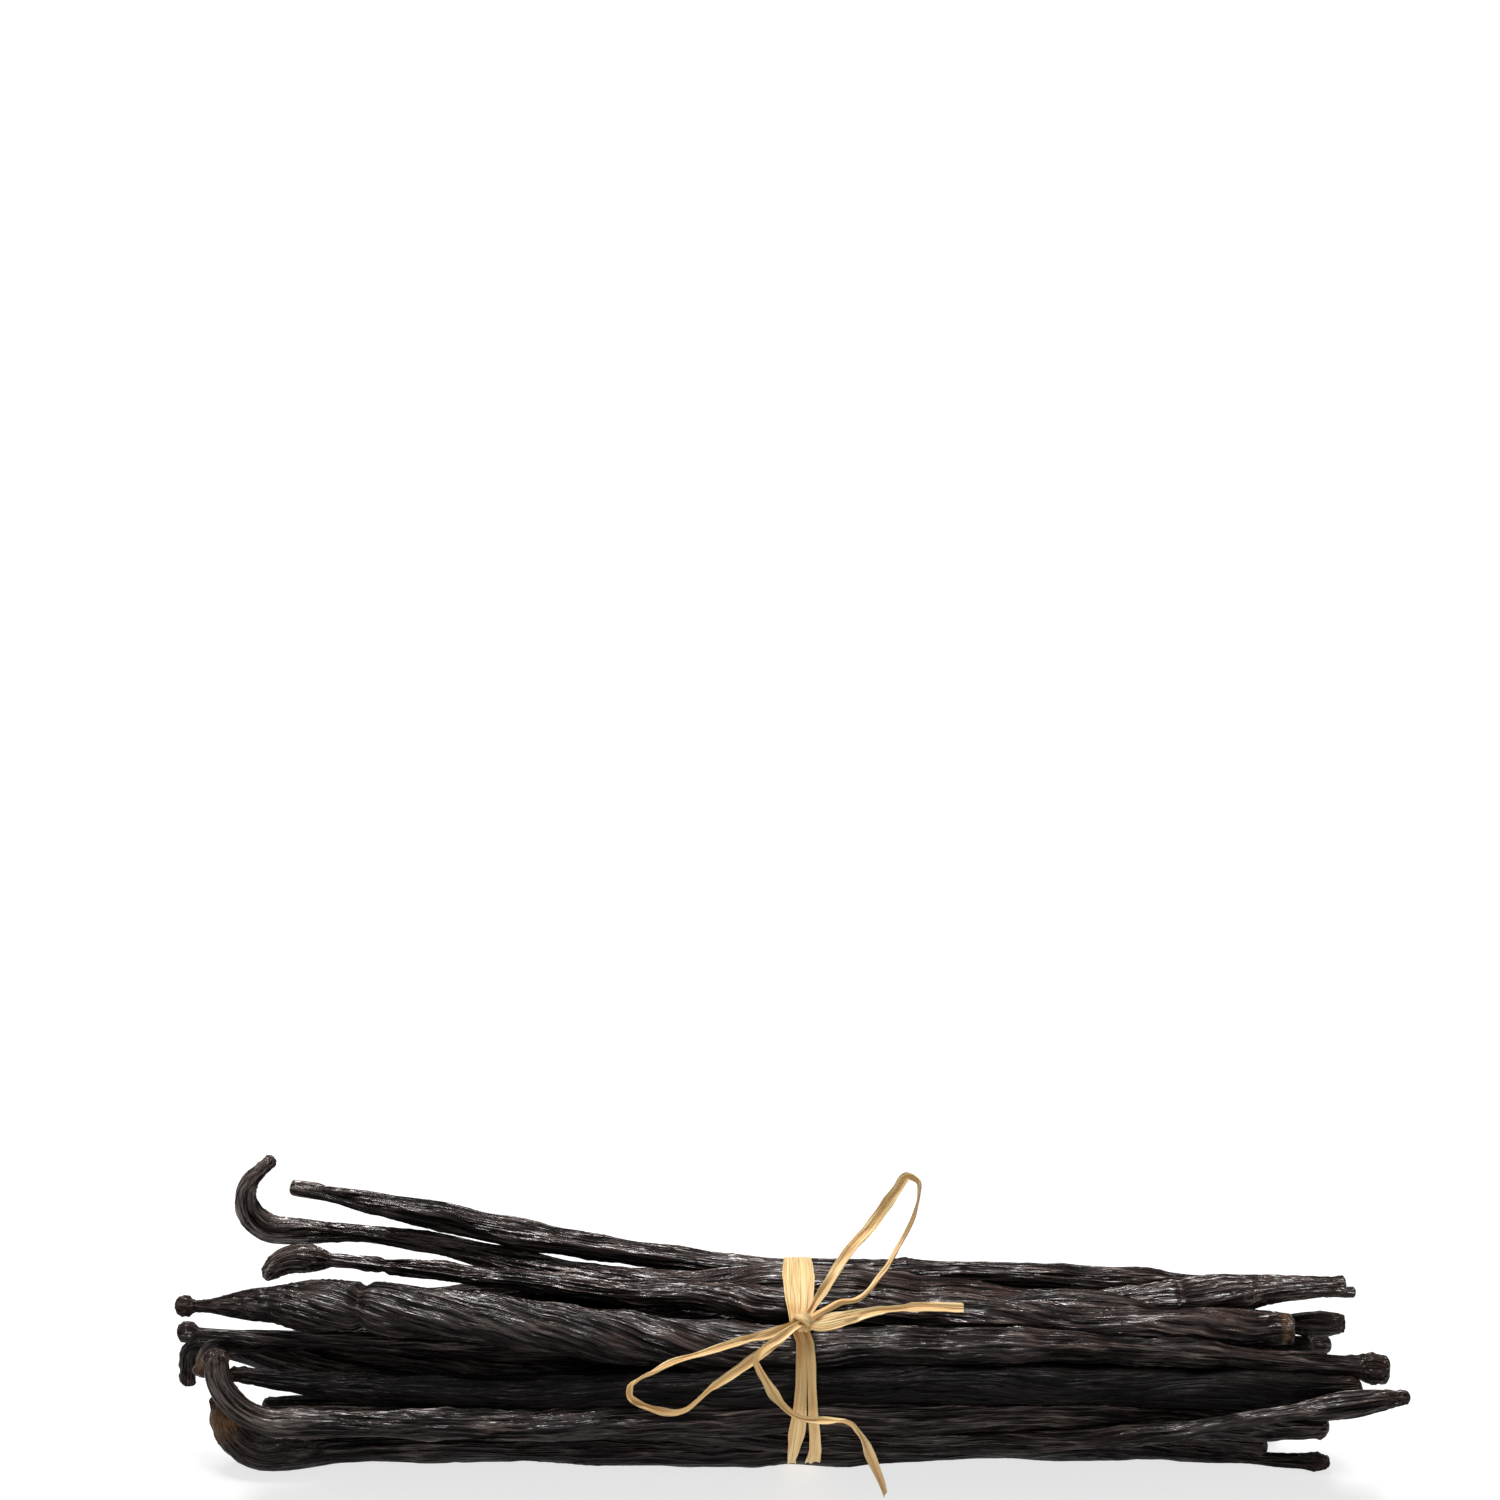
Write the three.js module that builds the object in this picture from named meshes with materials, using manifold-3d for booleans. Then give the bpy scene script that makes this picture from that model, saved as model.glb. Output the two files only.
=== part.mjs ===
// A bundle of cured vanilla pods, tied round its middle with a strip of raffia.
//
// Twenty-four long, thin pods fill an oval where the raffia holds them, and spread a little
// towards their ends, where some of them curl. The raffia is two flat turns, a knot in front,
// two loose loops and two cut tails. Millimetres, +Z up, the pods along X, standing on z = 0.

import * as THREE from 'three';
import { mergeVertices } from 'three/addons/utils/BufferGeometryUtils.js';
import Module from 'manifold-3d';

const wasm = await Module();
wasm.setup();

// ---- driving dimensions, mm and degrees ----

// The oval that the pods fill under the raffia.
const TIE_X = 1.5;
const TIE_MIDDLE_Z = 15.9;
const TIE_HALF_DEPTH = 17;
const TIE_HALF_HEIGHT = 15;
const HELD_HALF_LENGTH = 3;

// Pods.
const OUTER_POD_SIDES = 8;
const INNER_POD_SIDES = 6;
const POD_STEP = 10.5;
const HOOK_STEP = 25;
const HOOK_STOP = 3;
const END_STOPS = [0, 0.5, 1.6, 4];
const ROUNDING = 0.4;
const TIP_FLATNESS = 0.02;
const INNER_RING = 0.52;
const HIDDEN_RING = 0.5;
const CORE_RING = 0.14;
const STIFF_POD = 12;
const FIRM_POD = 4;

// How the pods settle against each other between the tie and their ends.
const FIRST_STATION = -96;
const STATION_STEP = 3;
const STATION_COUNT = 66;
const SETTLE_ROUNDS = 80;
const SETTLE_FIT = 0.94;
const SETTLE_PUSH = 0.5;
const SETTLE_SMOOTH = 0.6;
const TIE_GRIP_START = 4;
const TIE_GRIP_LENGTH = 14;
const FLOOR_FLATTENING = 0.7;
const LYING_END_Z = 0.3;

// The filling inside the bundle.
const CORE = { x: 0, y: 1.6, z: 14.2, halfLength: 58, halfDepth: 11.4, halfHeight: 10, sides: 12, rings: 8 };

// A box that is larger than the bundle and stands on the ground.
const ABOVE_GROUND = 300;

// Raffia. A turn is gathered at the knot, wide a little behind the top, and narrower below,
// where the two turns stand apart.
const RAFFIA_THICKNESS = 0.45;
const CLEARANCE = 0.35;
const WRAP = { steps: 48, gathered: 1.1, under: 1.5, over: 2.2, apart: 0.9, gathering: 0.6, widestBefore: 60 };
const KNOT_ANGLE = 128;
const KNOT = { width: 4.4, height: 4.4, depth: 3.0, x: 1.9 };
const STRAND_SIDES = 8;

// Moves the middle of the bundle's length and depth to the origin.
const MIDDLE = { x: -0.7, y: 1.6 };

// Colours.
const POD_COLOUR = 0x2a1c17;
const RAFFIA_COLOUR = 0xe3c78c;

const radians = THREE.MathUtils.degToRad;
const clamp01 = (value) => THREE.MathUtils.clamp(value, 0, 1);
const smooth = (value) => THREE.MathUtils.smoothstep(value, 0, 1);

// ---- the pods, in words ----

// One end of a pod: where its middle line ends, how blunt and how long its taper is, and how
// the line bows (in Y and Z) and sways on its way from the tie.
function podEnd(x, y, z, tip, taper, shape = {}) {
  return { x, y, z, tip, taper, ease: 1.5, bowY: 0, bowZ: 0, sway: 0, knobs: [], ...shape };
}

// A swelling, such as the stalk end: its width, its distance from the tip and its half length.
function knob(size, at, spread) {
  return { size, at, spread };
}

// The pods of the front and top, by their angle round the tie (0 is the back, 90 the top).
// A hook is the curl that an end goes on into: turn, radius and straight run, in a plane
// along X that is rolled round the X axis.
const SHOWN_PODS = [
  {
    ring: 1, angle: 58, width: 3.9, thick: 3.8, firmness: STIFF_POD,
    left: podEnd(-78.6, 17, 38.8, 2.2, 40,
      { ease: 1.6, bowY: 2.5, bowZ: -1.3, sway: 0.6, knobs: [knob(4.6, 30, 26)] }),
    right: podEnd(88.4, 7, 23.4, 1.5, 45, { bowZ: 0.3 }),
  },
  {
    ring: 1, angle: 82, width: 6.3, thick: 5.4, firmness: STIFF_POD,
    left: podEnd(-80.8, 19, 28.4, 2.2, 100,
      { ease: 1.3, bowY: 3.1, bowZ: -2.6, sway: -5.5, knobs: [knob(2.6, 1.3, 1.5), knob(4.5, 15, 15)] }),
    right: podEnd(85.7, 1, 29.1, 3.4, 26, { bowZ: -6.6, knobs: [knob(6.6, 20, 9)] }),
    hook: { turn: 138, radius: 5.2, roll: 82, straight: 4.2 },
  },
  {
    ring: 1, angle: 107, width: 6.2, thick: 5.2, firmness: STIFF_POD,
    left: podEnd(-74.6, 11, 28.6, 1.9, 105,
      { ease: 1.2, bowY: 0.6, bowZ: -0.6, sway: 0.6, knobs: [knob(5.2, 6, 6.1), knob(3.1, 27, 8)] }),
    right: podEnd(77.4, -2, 22.2, 5.3, 8, { bowZ: -1.6 }),
    hook: { turn: 46, radius: 9.5, roll: -100, straight: 1.2 },
  },
  {
    ring: 1, angle: 140, width: 8, thick: 6, firmness: STIFF_POD,
    left: podEnd(-95.4, 4, 23.2, 1.8, 25,
      { bowY: -0.5, bowZ: 3.8, sway: -2, knobs: [knob(3.2, 1.6, 1.7)] }),
    right: podEnd(91.7, -6, 16.9, 3.4, 120, { bowZ: 2.5, knobs: [knob(4.5, 2.4, 2.7)] }),
  },
  {
    ring: 1, angle: 163, width: 6, thick: 5.4, firmness: STIFF_POD,
    left: podEnd(-86.1, -6, 17.8, 2.4, 32, { bowZ: -4.3, sway: 2 }),
    right: podEnd(87.4, -8, 15.2, 4.2, 16, { bowZ: -0.4 }),
  },
  {
    ring: 1, angle: 185, width: 5.6, thick: 5, firmness: STIFF_POD,
    left: podEnd(-77.3, -11, 11, 4, 95,
      { ease: 1.7, bowY: 0.2, bowZ: -0.6, sway: -0.8, knobs: [knob(2.6, 1.2, 1.3)] }),
    right: podEnd(82.8, -7, 7.6, 3.7, 15, { bowZ: 1.3 }),
    hook: { turn: 98, radius: 9.8, roll: 84, straight: 1 },
  },
  {
    ring: 1, angle: 207, width: 4.6, thick: 4.4, firmness: STIFF_POD,
    left: podEnd(-82, -1, 8, 3.6, 30, { bowY: 3, bowZ: 1.8 }),
    right: podEnd(94, -12, 17.2, 2.2, 100,
      { ease: 2.2, bowY: -1.5, bowZ: -0.8, knobs: [knob(3.8, 9.5, 9.3)] }),
  },
  {
    ring: 1, angle: 231, width: 5.4, thick: 4.8, firmness: STIFF_POD,
    left: podEnd(-80.2, -4.9, 2.4, 4.4, 14,
      { bowY: 1.2, sway: -1.5, knobs: [knob(3.8, 1.6, 1.8), knob(6.8, 12, 13)] }),
    right: podEnd(83.4, -5.6, -2.4, 2.1, 55,
      { bowZ: 4.7, sway: -0.8, knobs: [knob(2.9, 2, 2.8), knob(6.2, 76, 58)] }),
    hook: { turn: 95, radius: 7, roll: 75, straight: 1.5 },
  },
  {
    ring: INNER_RING, angle: 140, width: 5, thick: 4.6, firmness: FIRM_POD,
    left: podEnd(-94.6, 0, 20.9, 1.6, 70, { bowZ: -0.8, knobs: [knob(3.4, 1.6, 1.8)] }),
    right: podEnd(81.1, 2, 17, 3, 20, { bowZ: 3.7, knobs: [knob(3.2, 1.5, 1.7)] }),
  },
  {
    ring: INNER_RING, angle: 195, width: 4.8, thick: 4.4, firmness: FIRM_POD,
    left: podEnd(-91.8, 4, 16.2, 2.4, 30, { bowZ: 3.1 }),
    right: podEnd(73.6, -7.2, 3, 2.6, 30, { bowZ: 1.2 }),
    hook: { turn: 86, radius: 2.2, roll: -92, straight: 5 },
  },
  {
    ring: INNER_RING, angle: 86, width: 4.6, thick: 4.2, firmness: FIRM_POD,
    left: podEnd(-88.6, -2, 17.4, 1.3, 50, { bowZ: -1, knobs: [knob(2.2, 1.1, 1.2)] }),
    right: podEnd(85.8, 2, 21, 2.4, 42, { bowZ: 1, knobs: [knob(4, 4, 5.5)] }),
  },
  {
    ring: INNER_RING, angle: 242, width: 4.8, thick: 4.4, firmness: FIRM_POD,
    left: podEnd(-88.2, 0.5, 19.4, 2.6, 22, { bowZ: -1 }),
    right: podEnd(79, 0, 11, 3.2, 25),
    hook: { turn: 82, radius: 1.8, roll: -96, straight: 4 },
  },
];

// Angles round the tie of the pods of the bottom and back, and of those inside. The two in the
// very middle differ in where they end on the right.
const BACK_ANGLES = [251, 278, 302, 326, 350, 14, 36];
const INSIDE_ANGLES = [294, 346, 38];
const MIDDLE_PODS = [
  { angle: 20, right: podEnd(84.6, 4.5, 15.8, 3.2, 25) },
  { angle: 200, right: podEnd(72, 1, 14, 3, 25) },
];

// A repeatable draw between 0 and 1.
let drawState = 7;
function draw() {
  const multiplier = 16807;
  const modulus = 2147483647;
  drawState = (drawState * multiplier) % modulus;
  return drawState / modulus;
}

// A value between a start and a stop, drawn anew each time.
const between = ([start, stop]) => start + (stop - start) * draw();

// The pods of the bottom and back: plain, nearly straight, each a little different. A pair of
// numbers is what a value is drawn between, and fan is how far the ends spread in Y and Z.
const BACK_POD = {
  width: [5.2, 6.6], flattening: 0.6,
  left: { x: [-66, -88], y: [3, 6], z: 9, fan: [15, 9], tip: [2.8, 3.8], taper: 35 },
  right: { x: [62, 76], y: [3, 5], z: 9.3, fan: [14, 9], tip: 3.4, taper: 25 },
};

function backPod(angle) {
  const { left, right, flattening } = BACK_POD;
  const across = Math.cos(radians(angle));
  const up = Math.sin(radians(angle));
  const width = between(BACK_POD.width);
  const leftX = between(left.x);
  const leftY = left.fan[0] * across + between(left.y);
  const leftTip = between(left.tip);
  const rightX = between(right.x);
  const rightY = right.fan[0] * across + between(right.y);
  const leftZ = Math.max(LYING_END_Z, left.z + left.fan[1] * up);
  const rightZ = Math.max(LYING_END_Z, right.z + right.fan[1] * up);
  return {
    ring: 1, angle, width, thick: width - flattening, firmness: 1,
    left: podEnd(leftX, leftY, leftZ, leftTip, left.taper),
    right: podEnd(rightX, rightY, rightZ, right.tip, right.taper),
  };
}

// The pods between the outer ring and the middle, given in the same way.
const INSIDE_POD = {
  width: [4.6, 5.4], flattening: 0.4,
  left: { x: [-70, -86], y: 3, z: 9, fan: [8, 6], tip: 2.6, taper: 35 },
  right: { x: [66, 84], y: 2, z: 12, fan: [8, 7], tip: 3.2, taper: 25 },
};

function insidePod(angle) {
  const across = Math.cos(radians(angle));
  const up = Math.sin(radians(angle));
  const width = between(INSIDE_POD.width);
  const end = ({ x, y, z, fan, tip, taper }) => podEnd(
    between(x), y + fan[0] * across, z + fan[1] * up, tip, taper);
  return {
    ring: HIDDEN_RING, angle, width, thick: width - INSIDE_POD.flattening, firmness: 1,
    left: end(INSIDE_POD.left),
    right: end(INSIDE_POD.right),
  };
}

// The two pods in the very middle.
const MIDDLE_POD = { width: 4.8, thick: 4.4, left: podEnd(-72, 2, 12, 2.6, 30) };

function middlePod({ angle, right }) {
  return { ring: CORE_RING, angle, firmness: 1, ...MIDDLE_POD, right };
}

const PODS = [
  ...SHOWN_PODS,
  ...BACK_ANGLES.map(backPod),
  ...INSIDE_ANGLES.map(insidePod),
  ...MIDDLE_PODS.map(middlePod),
];

// ---- where the pods lie ----

// Where a pod's middle crosses the tie.
function tieCentre(pod) {
  const outer = pod.ring === 1;
  const depth = outer ? TIE_HALF_DEPTH - pod.thick / 2 : TIE_HALF_DEPTH * pod.ring;
  const height = outer ? TIE_HALF_HEIGHT - pod.thick / 2 : TIE_HALF_HEIGHT * pod.ring;
  return {
    y: depth * Math.cos(radians(pod.angle)),
    z: TIE_MIDDLE_Z + height * Math.sin(radians(pod.angle)),
  };
}

// The free line of a pod at x: from the tie to its end by a power of the way, plus its bow
// (sin squared) and its sway (which turns over half way).
function freeLine(pod, x) {
  const tie = tieCentre(pod);
  const side = x < TIE_X ? pod.left : pod.right;
  const span = Math.abs(side.x - TIE_X) - HELD_HALF_LENGTH;
  const way = clamp01((Math.abs(x - TIE_X) - HELD_HALF_LENGTH) / span);
  const reach = way ** side.ease;
  const bow = Math.sin(Math.PI * way) ** 2;
  const sway = Math.sin(2 * Math.PI * way) * Math.sin(Math.PI * way) * side.sway;
  return {
    y: tie.y + (side.y - tie.y) * reach + side.bowY * bow,
    z: tie.z + (side.z - tie.z) * reach + side.bowZ * bow + sway,
  };
}

// A pod's mean radius at x, which is how much room it takes.
function roomAt(pod, x) {
  const taper = (side, distance) => {
    const grown = smooth(distance / side.taper);
    return (side.tip + (pod.width - side.tip) * grown) / 2;
  };
  const half = Math.min(pod.width / 2, taper(pod.left, x - pod.left.x), taper(pod.right, pod.right.x - x));
  return half * (1 + pod.thick / pod.width) / 2;
}

const STATIONS = Array.from({ length: STATION_COUNT }, (_, i) => FIRST_STATION + STATION_STEP * i);

// Lets the pods push each other apart at every station, round by round, keeps their lines
// smooth and lays them on the ground. The tie holds them, and a firm pod gives way less.
function settle(pods) {
  const lines = pods.map((pod) => STATIONS.map((x) => freeLine(pod, x)));
  const room = pods.map((pod) => STATIONS.map((x) => roomAt(pod, x)));
  const present = pods.map((pod) => STATIONS.map(
    (x) => x >= pod.left.x - STATION_STEP && x <= pod.right.x + STATION_STEP));
  const freedom = STATIONS.map((x) => smooth((Math.abs(x - TIE_X) - TIE_GRIP_START) / TIE_GRIP_LENGTH));
  for (let round = 0; round < SETTLE_ROUNDS; round += 1) {
    const pushed = lines.map((line) => line.map((point) => ({ ...point })));
    for (let k = 0; k < STATION_COUNT; k += 1) {
      for (let i = 0; i < pods.length; i += 1) {
        for (let j = 0; j < pods.length; j += 1) {
          if (i === j || !present[i][k] || !present[j][k]) continue;
          const y = lines[i][k].y - lines[j][k].y;
          const z = lines[i][k].z - lines[j][k].z;
          const distance = Math.sqrt(y * y + z * z) + 1e-9;
          const overlap = Math.max(0, (room[i][k] + room[j][k]) * SETTLE_FIT - distance);
          const share = pods[j].firmness / (pods[i].firmness + pods[j].firmness);
          const move = overlap * share * SETTLE_PUSH * freedom[k] / distance;
          pushed[i][k].y += y * move;
          pushed[i][k].z += z * move;
        }
      }
    }
    pushed.forEach((line, i) => line.forEach((point, k) => {
      const inside = k > 0 && k < STATION_COUNT - 1;
      const blend = inside ? SETTLE_SMOOTH * freedom[k] : 0;
      const bend = (axis) => (inside ? (line[k - 1][axis] + line[k + 1][axis]) / 4 - point[axis] / 2 : 0);
      lines[i][k] = {
        y: point.y + bend('y') * blend,
        z: Math.max(point.z + bend('z') * blend, room[i][k] * FLOOR_FLATTENING),
      };
    }));
  }
  return lines;
}

const LINES = settle(PODS);

// ---- shapes ----

// The middle line of a pod as points, its hook first.
function podLine(pod, line) {
  const lineAt = (x) => {
    const place = (x - FIRST_STATION) / STATION_STEP;
    const k = THREE.MathUtils.clamp(Math.floor(place), 0, STATION_COUNT - 2);
    const part = place - k;
    const mix = (axis) => line[k][axis] * (1 - part) + line[k + 1][axis] * part;
    return new THREE.Vector3(x, mix('y'), mix('z'));
  };
  const count = Math.round((pod.right.x - pod.left.x) / STATION_STEP);
  const run = Array.from({ length: count + 1 }, (_, i) => lineAt(
    THREE.MathUtils.lerp(pod.left.x, pod.right.x, i / count)));
  if (!pod.hook) return run;
  const { turn, radius, roll, straight } = pod.hook;
  const ahead = run[0].clone().sub(run[2]).normalize();
  const rolled = new THREE.Vector3(0, Math.cos(radians(roll)), Math.sin(radians(roll)));
  const inward = rolled.addScaledVector(ahead, -rolled.dot(ahead)).normalize();
  const steps = Math.ceil(turn / HOOK_STEP);
  const bend = (angle) => run[0].clone()
    .addScaledVector(ahead, radius * Math.sin(angle))
    .addScaledVector(inward, radius * (1 - Math.cos(angle)));
  const curl = Array.from({ length: steps }, (_, i) => bend(radians(turn) * (i + 1) / steps));
  const out = ahead.clone().multiplyScalar(Math.cos(radians(turn)))
    .addScaledVector(inward, Math.sin(radians(turn)));
  curl.push(curl[steps - 1].clone().addScaledVector(out, straight));
  return [...curl.reverse(), ...run];
}

// How thick the pod is at a distance along it: a taper to each tip, rounded off, and its knobs.
function halfWidthAt(pod, distance, total) {
  const shape = (side, away) => {
    const taper = side.tip + (pod.width - side.tip) * smooth(away / side.taper);
    const round = Math.sqrt(Math.max(TIP_FLATNESS, 1 - (1 - clamp01(away / (side.tip * ROUNDING))) ** 2));
    return taper / 2 * round;
  };
  const swells = (side, away) => side.knobs.map(({ size, at, spread }) => (
    size / 2 * Math.sqrt(clamp01(1 - ((away - at) / spread) ** 2))));
  const plain = Math.min(shape(pod.left, distance), shape(pod.right, total - distance));
  return Math.max(plain, ...swells(pod.left, distance), ...swells(pod.right, total - distance));
}

// A closed tube round a line of points. sizeAt gives the two half sizes of its section, and
// reference is the direction, square to every bend of the line, that the first of them takes.
function tube(points, reference, sides, sizeAt) {
  const vertices = [];
  const faces = [];
  points.forEach((point, i) => {
    const before = points[Math.max(0, i - 1)];
    const after = points[Math.min(points.length - 1, i + 1)];
    const along = after.clone().sub(before).normalize();
    const across = reference.clone().addScaledVector(along, -reference.dot(along)).normalize();
    const beside = along.clone().cross(across);
    const [half, otherHalf] = sizeAt(i);
    for (let s = 0; s < sides; s += 1) {
      const angle = (2 * Math.PI * s) / sides;
      vertices.push(point.clone()
        .addScaledVector(across, half * Math.cos(angle))
        .addScaledVector(beside, otherHalf * Math.sin(angle)));
    }
  });
  const start = vertices.length;
  vertices.push(points[0], points[points.length - 1]);
  const last = (points.length - 1) * sides;
  for (let s = 0; s < sides; s += 1) {
    const next = (s + 1) % sides;
    for (let row = 0; row < last; row += sides) {
      faces.push(row + s, row + next, row + sides + next, row + s, row + sides + next, row + sides + s);
    }
    faces.push(start, next, s, start + 1, last + s, last + next);
  }
  return meshGeometry(vertices, faces);
}

function meshGeometry(vertices, faces) {
  const geometry = new THREE.BufferGeometry();
  geometry.setAttribute('position', new THREE.Float32BufferAttribute(vertices.flatMap((v) => v.toArray()), 3));
  geometry.setIndex(faces);
  return geometry;
}

// Distances along a pod where its sections stand: close together at the tips and in a hook.
function podStops(total, hookLength) {
  const hookStops = Math.ceil(hookLength / HOOK_STOP);
  const stops = [...END_STOPS, ...END_STOPS.map((stop) => total - stop)];
  for (let i = 1; i <= hookStops; i += 1) stops.push(END_STOPS.at(-1) + i * HOOK_STOP);
  const first = END_STOPS.at(-1) + hookStops * HOOK_STOP;
  const count = Math.round((total - END_STOPS.at(-1) - first) / POD_STEP);
  for (let i = 1; i < count; i += 1) {
    stops.push(THREE.MathUtils.lerp(first, total - END_STOPS.at(-1), i / count));
  }
  return stops.sort((a, b) => a - b);
}

function pod(spec, line) {
  const points = podLine(spec, line);
  const lengths = [0];
  points.slice(1).forEach((point, i) => lengths.push(lengths[i] + point.distanceTo(points[i])));
  const total = lengths.at(-1);
  const hookLength = spec.hook ? radians(spec.hook.turn) * spec.hook.radius + spec.hook.straight : 0;
  const pointAt = (stop) => {
    const k = THREE.MathUtils.clamp(lengths.findIndex((length) => length > stop) - 1, 0, points.length - 2);
    const part = clamp01((stop - lengths[k]) / (lengths[k + 1] - lengths[k]));
    return points[k].clone().lerp(points[k + 1], part);
  };
  const stops = podStops(total, hookLength);
  const middles = stops.map((stop) => (stop >= total ? points.at(-1).clone() : pointAt(stop)));
  const roll = spec.hook ? spec.hook.roll + 90 : spec.angle;
  const reference = new THREE.Vector3(0, Math.cos(radians(roll)), Math.sin(radians(roll)));
  const turned = radians(roll - spec.angle);
  const flatness = spec.thick / spec.width;
  const sides = spec.ring === 1 ? OUTER_POD_SIDES : INNER_POD_SIDES;
  return tube(middles, reference, sides, (i) => {
    const half = halfWidthAt(spec, stops[i], total);
    return [
      half * Math.hypot(flatness * Math.cos(turned), Math.sin(turned)),
      half * Math.hypot(Math.cos(turned), flatness * Math.sin(turned)),
    ];
  });
}

// ---- joining ----

function solid(geometry) {
  const plain = geometry.clone();
  plain.deleteAttribute('normal');
  plain.deleteAttribute('uv');
  const merged = mergeVertices(plain, 1e-5);
  return new wasm.Manifold(new wasm.Mesh({
    numProp: 3,
    vertProperties: new Float32Array(merged.attributes.position.array),
    triVerts: new Uint32Array(merged.index.array),
  }));
}

function geometryOf(body) {
  const mesh = body.getMesh();
  const geometry = new THREE.BufferGeometry();
  geometry.setAttribute('position', new THREE.BufferAttribute(new Float32Array(mesh.vertProperties), 3));
  geometry.setIndex(new THREE.BufferAttribute(new Uint32Array(mesh.triVerts), 1));
  return geometry;
}

// All the pods and the filling as one body, cut level where it stands, with no hollow inside.
function podBody() {
  const filling = new THREE.SphereGeometry(1, CORE.sides, CORE.rings)
    .rotateZ(Math.PI / 2)
    .scale(CORE.halfLength, CORE.halfDepth, CORE.halfHeight)
    .translate(CORE.x, CORE.y, CORE.z);
  const joined = PODS.reduce((body, spec, i) => body.add(solid(pod(spec, LINES[i]))), solid(filling));
  const above = new THREE.BoxGeometry(ABOVE_GROUND, ABOVE_GROUND, ABOVE_GROUND).translate(0, 0, ABOVE_GROUND / 2);
  const bodies = joined.intersect(solid(above)).decompose();
  return bodies.reduce((largest, body) => (body.volume() > largest.volume() ? body : largest));
}

// ---- raffia ----

// A point over the tie's oval, a height off it.
function overTie(x, angle, height) {
  return new THREE.Vector3(
    x,
    (TIE_HALF_DEPTH + height) * Math.cos(radians(angle)),
    TIE_MIDDLE_Z + (TIE_HALF_HEIGHT + height) * Math.sin(radians(angle)));
}

// One flat turn of raffia round the tie. side is -1 for the left turn and 1 for the right.
// The turns are wide over the top and draw in towards the knot.
function wrap(side) {
  const vertices = [];
  const faces = [];
  for (let i = 0; i < WRAP.steps; i += 1) {
    const angle = KNOT_ANGLE + (360 * i) / WRAP.steps;
    const above = (1 + Math.cos(radians(angle - KNOT_ANGLE + WRAP.widestBefore))) / 2;
    const away = Math.sin(radians((angle - KNOT_ANGLE) / 2)) ** WRAP.gathering;
    const loose = THREE.MathUtils.lerp(WRAP.under, WRAP.over, above);
    const width = THREE.MathUtils.lerp(WRAP.gathered, loose, away);
    const middle = TIE_X + side * (width / 2 + CLEARANCE / 2 + WRAP.apart * away * (1 - above));
    for (const [dx, height] of [[-1, 0], [-1, 1], [1, 1], [1, 0]]) {
      vertices.push(overTie(middle + dx * width / 2, angle, CLEARANCE + height * RAFFIA_THICKNESS));
    }
    const here = i * 4;
    const next = ((i + 1) % WRAP.steps) * 4;
    for (let s = 0; s < 4; s += 1) {
      const t = (s + 1) % 4;
      faces.push(here + s, next + t, here + t, here + s, next + s, next + t);
    }
  }
  return meshGeometry(vertices, faces);
}

function knot() {
  const height = CLEARANCE * 2 + RAFFIA_THICKNESS + KNOT.depth / 2;
  const shape = new THREE.SphereGeometry(0.5, 12, 8).scale(KNOT.width, KNOT.depth, KNOT.height);
  shape.rotateX(radians(KNOT_ANGLE - 180));
  const place = overTie(KNOT.x, KNOT_ANGLE, height);
  return shape.translate(place.x, place.y, place.z);
}

// The routes of the loose strands, from the knot outwards.
const LOOP_LEFT = [
  [-0.8, -13.6, 29.1], [-3.5, -14.4, 28.5], [-6.6, -15.2, 28.1], [-10.7, -15.6, 26.8], [-14.7, -15.8, 25.5],
  [-17.9, -16, 24.5], [-20.7, -16.4, 23.2], [-22.7, -16.8, 22.3], [-24, -17.2, 21], [-24.1, -17.5, 19.6],
  [-23, -17.8, 18.7], [-21.2, -18.2, 18], [-19.1, -18.5, 17.5], [-17.3, -18.6, 17.4], [-15.6, -18.6, 18.1],
  [-14.3, -18.5, 19.3], [-12.6, -18.3, 20.9], [-10.4, -18, 22.5], [-7.7, -17.2, 24.2], [-5.2, -16.2, 25.7],
  [-3.1, -15, 26.7], [-1.3, -14.3, 27.75],
];
const LOOP_RIGHT = [
  [3.8, -9, 31], [5.5, -6.6, 32.6], [7.7, -3, 34.5], [9.6, -0.4, 35.9], [11.6, 2, 36.9], [14, 4.6, 39.1],
  [16.3, 6.4, 41.8], [18.2, 7.4, 43.8], [19.7, 7.2, 43.2], [19.9, 6.2, 41.4], [19.2, 4.6, 38.9],
  [17.8, 2.6, 36.4], [16.3, 0.2, 34.7], [14.9, -2.4, 33.5], [13.4, -4.6, 32.7], [12.2, -6.4, 31.9],
  [11.1, -7.6, 31.4], [9.7, -8.8, 31.2], [7.5, -9.8, 31.4], [5.6, -11, 31],
  [4.4, -11.8, 30.8],
];
const TAIL_RIGHT = [
  [4.6, -12.8, 29.5], [7.3, -12.2, 29.8], [10.4, -11.4, 30.1], [13.1, -10.6, 30.3], [16.6, -9.8, 30.3],
  [21, -9.4, 30.3], [26.1, -9.4, 30.1],
];
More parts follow.
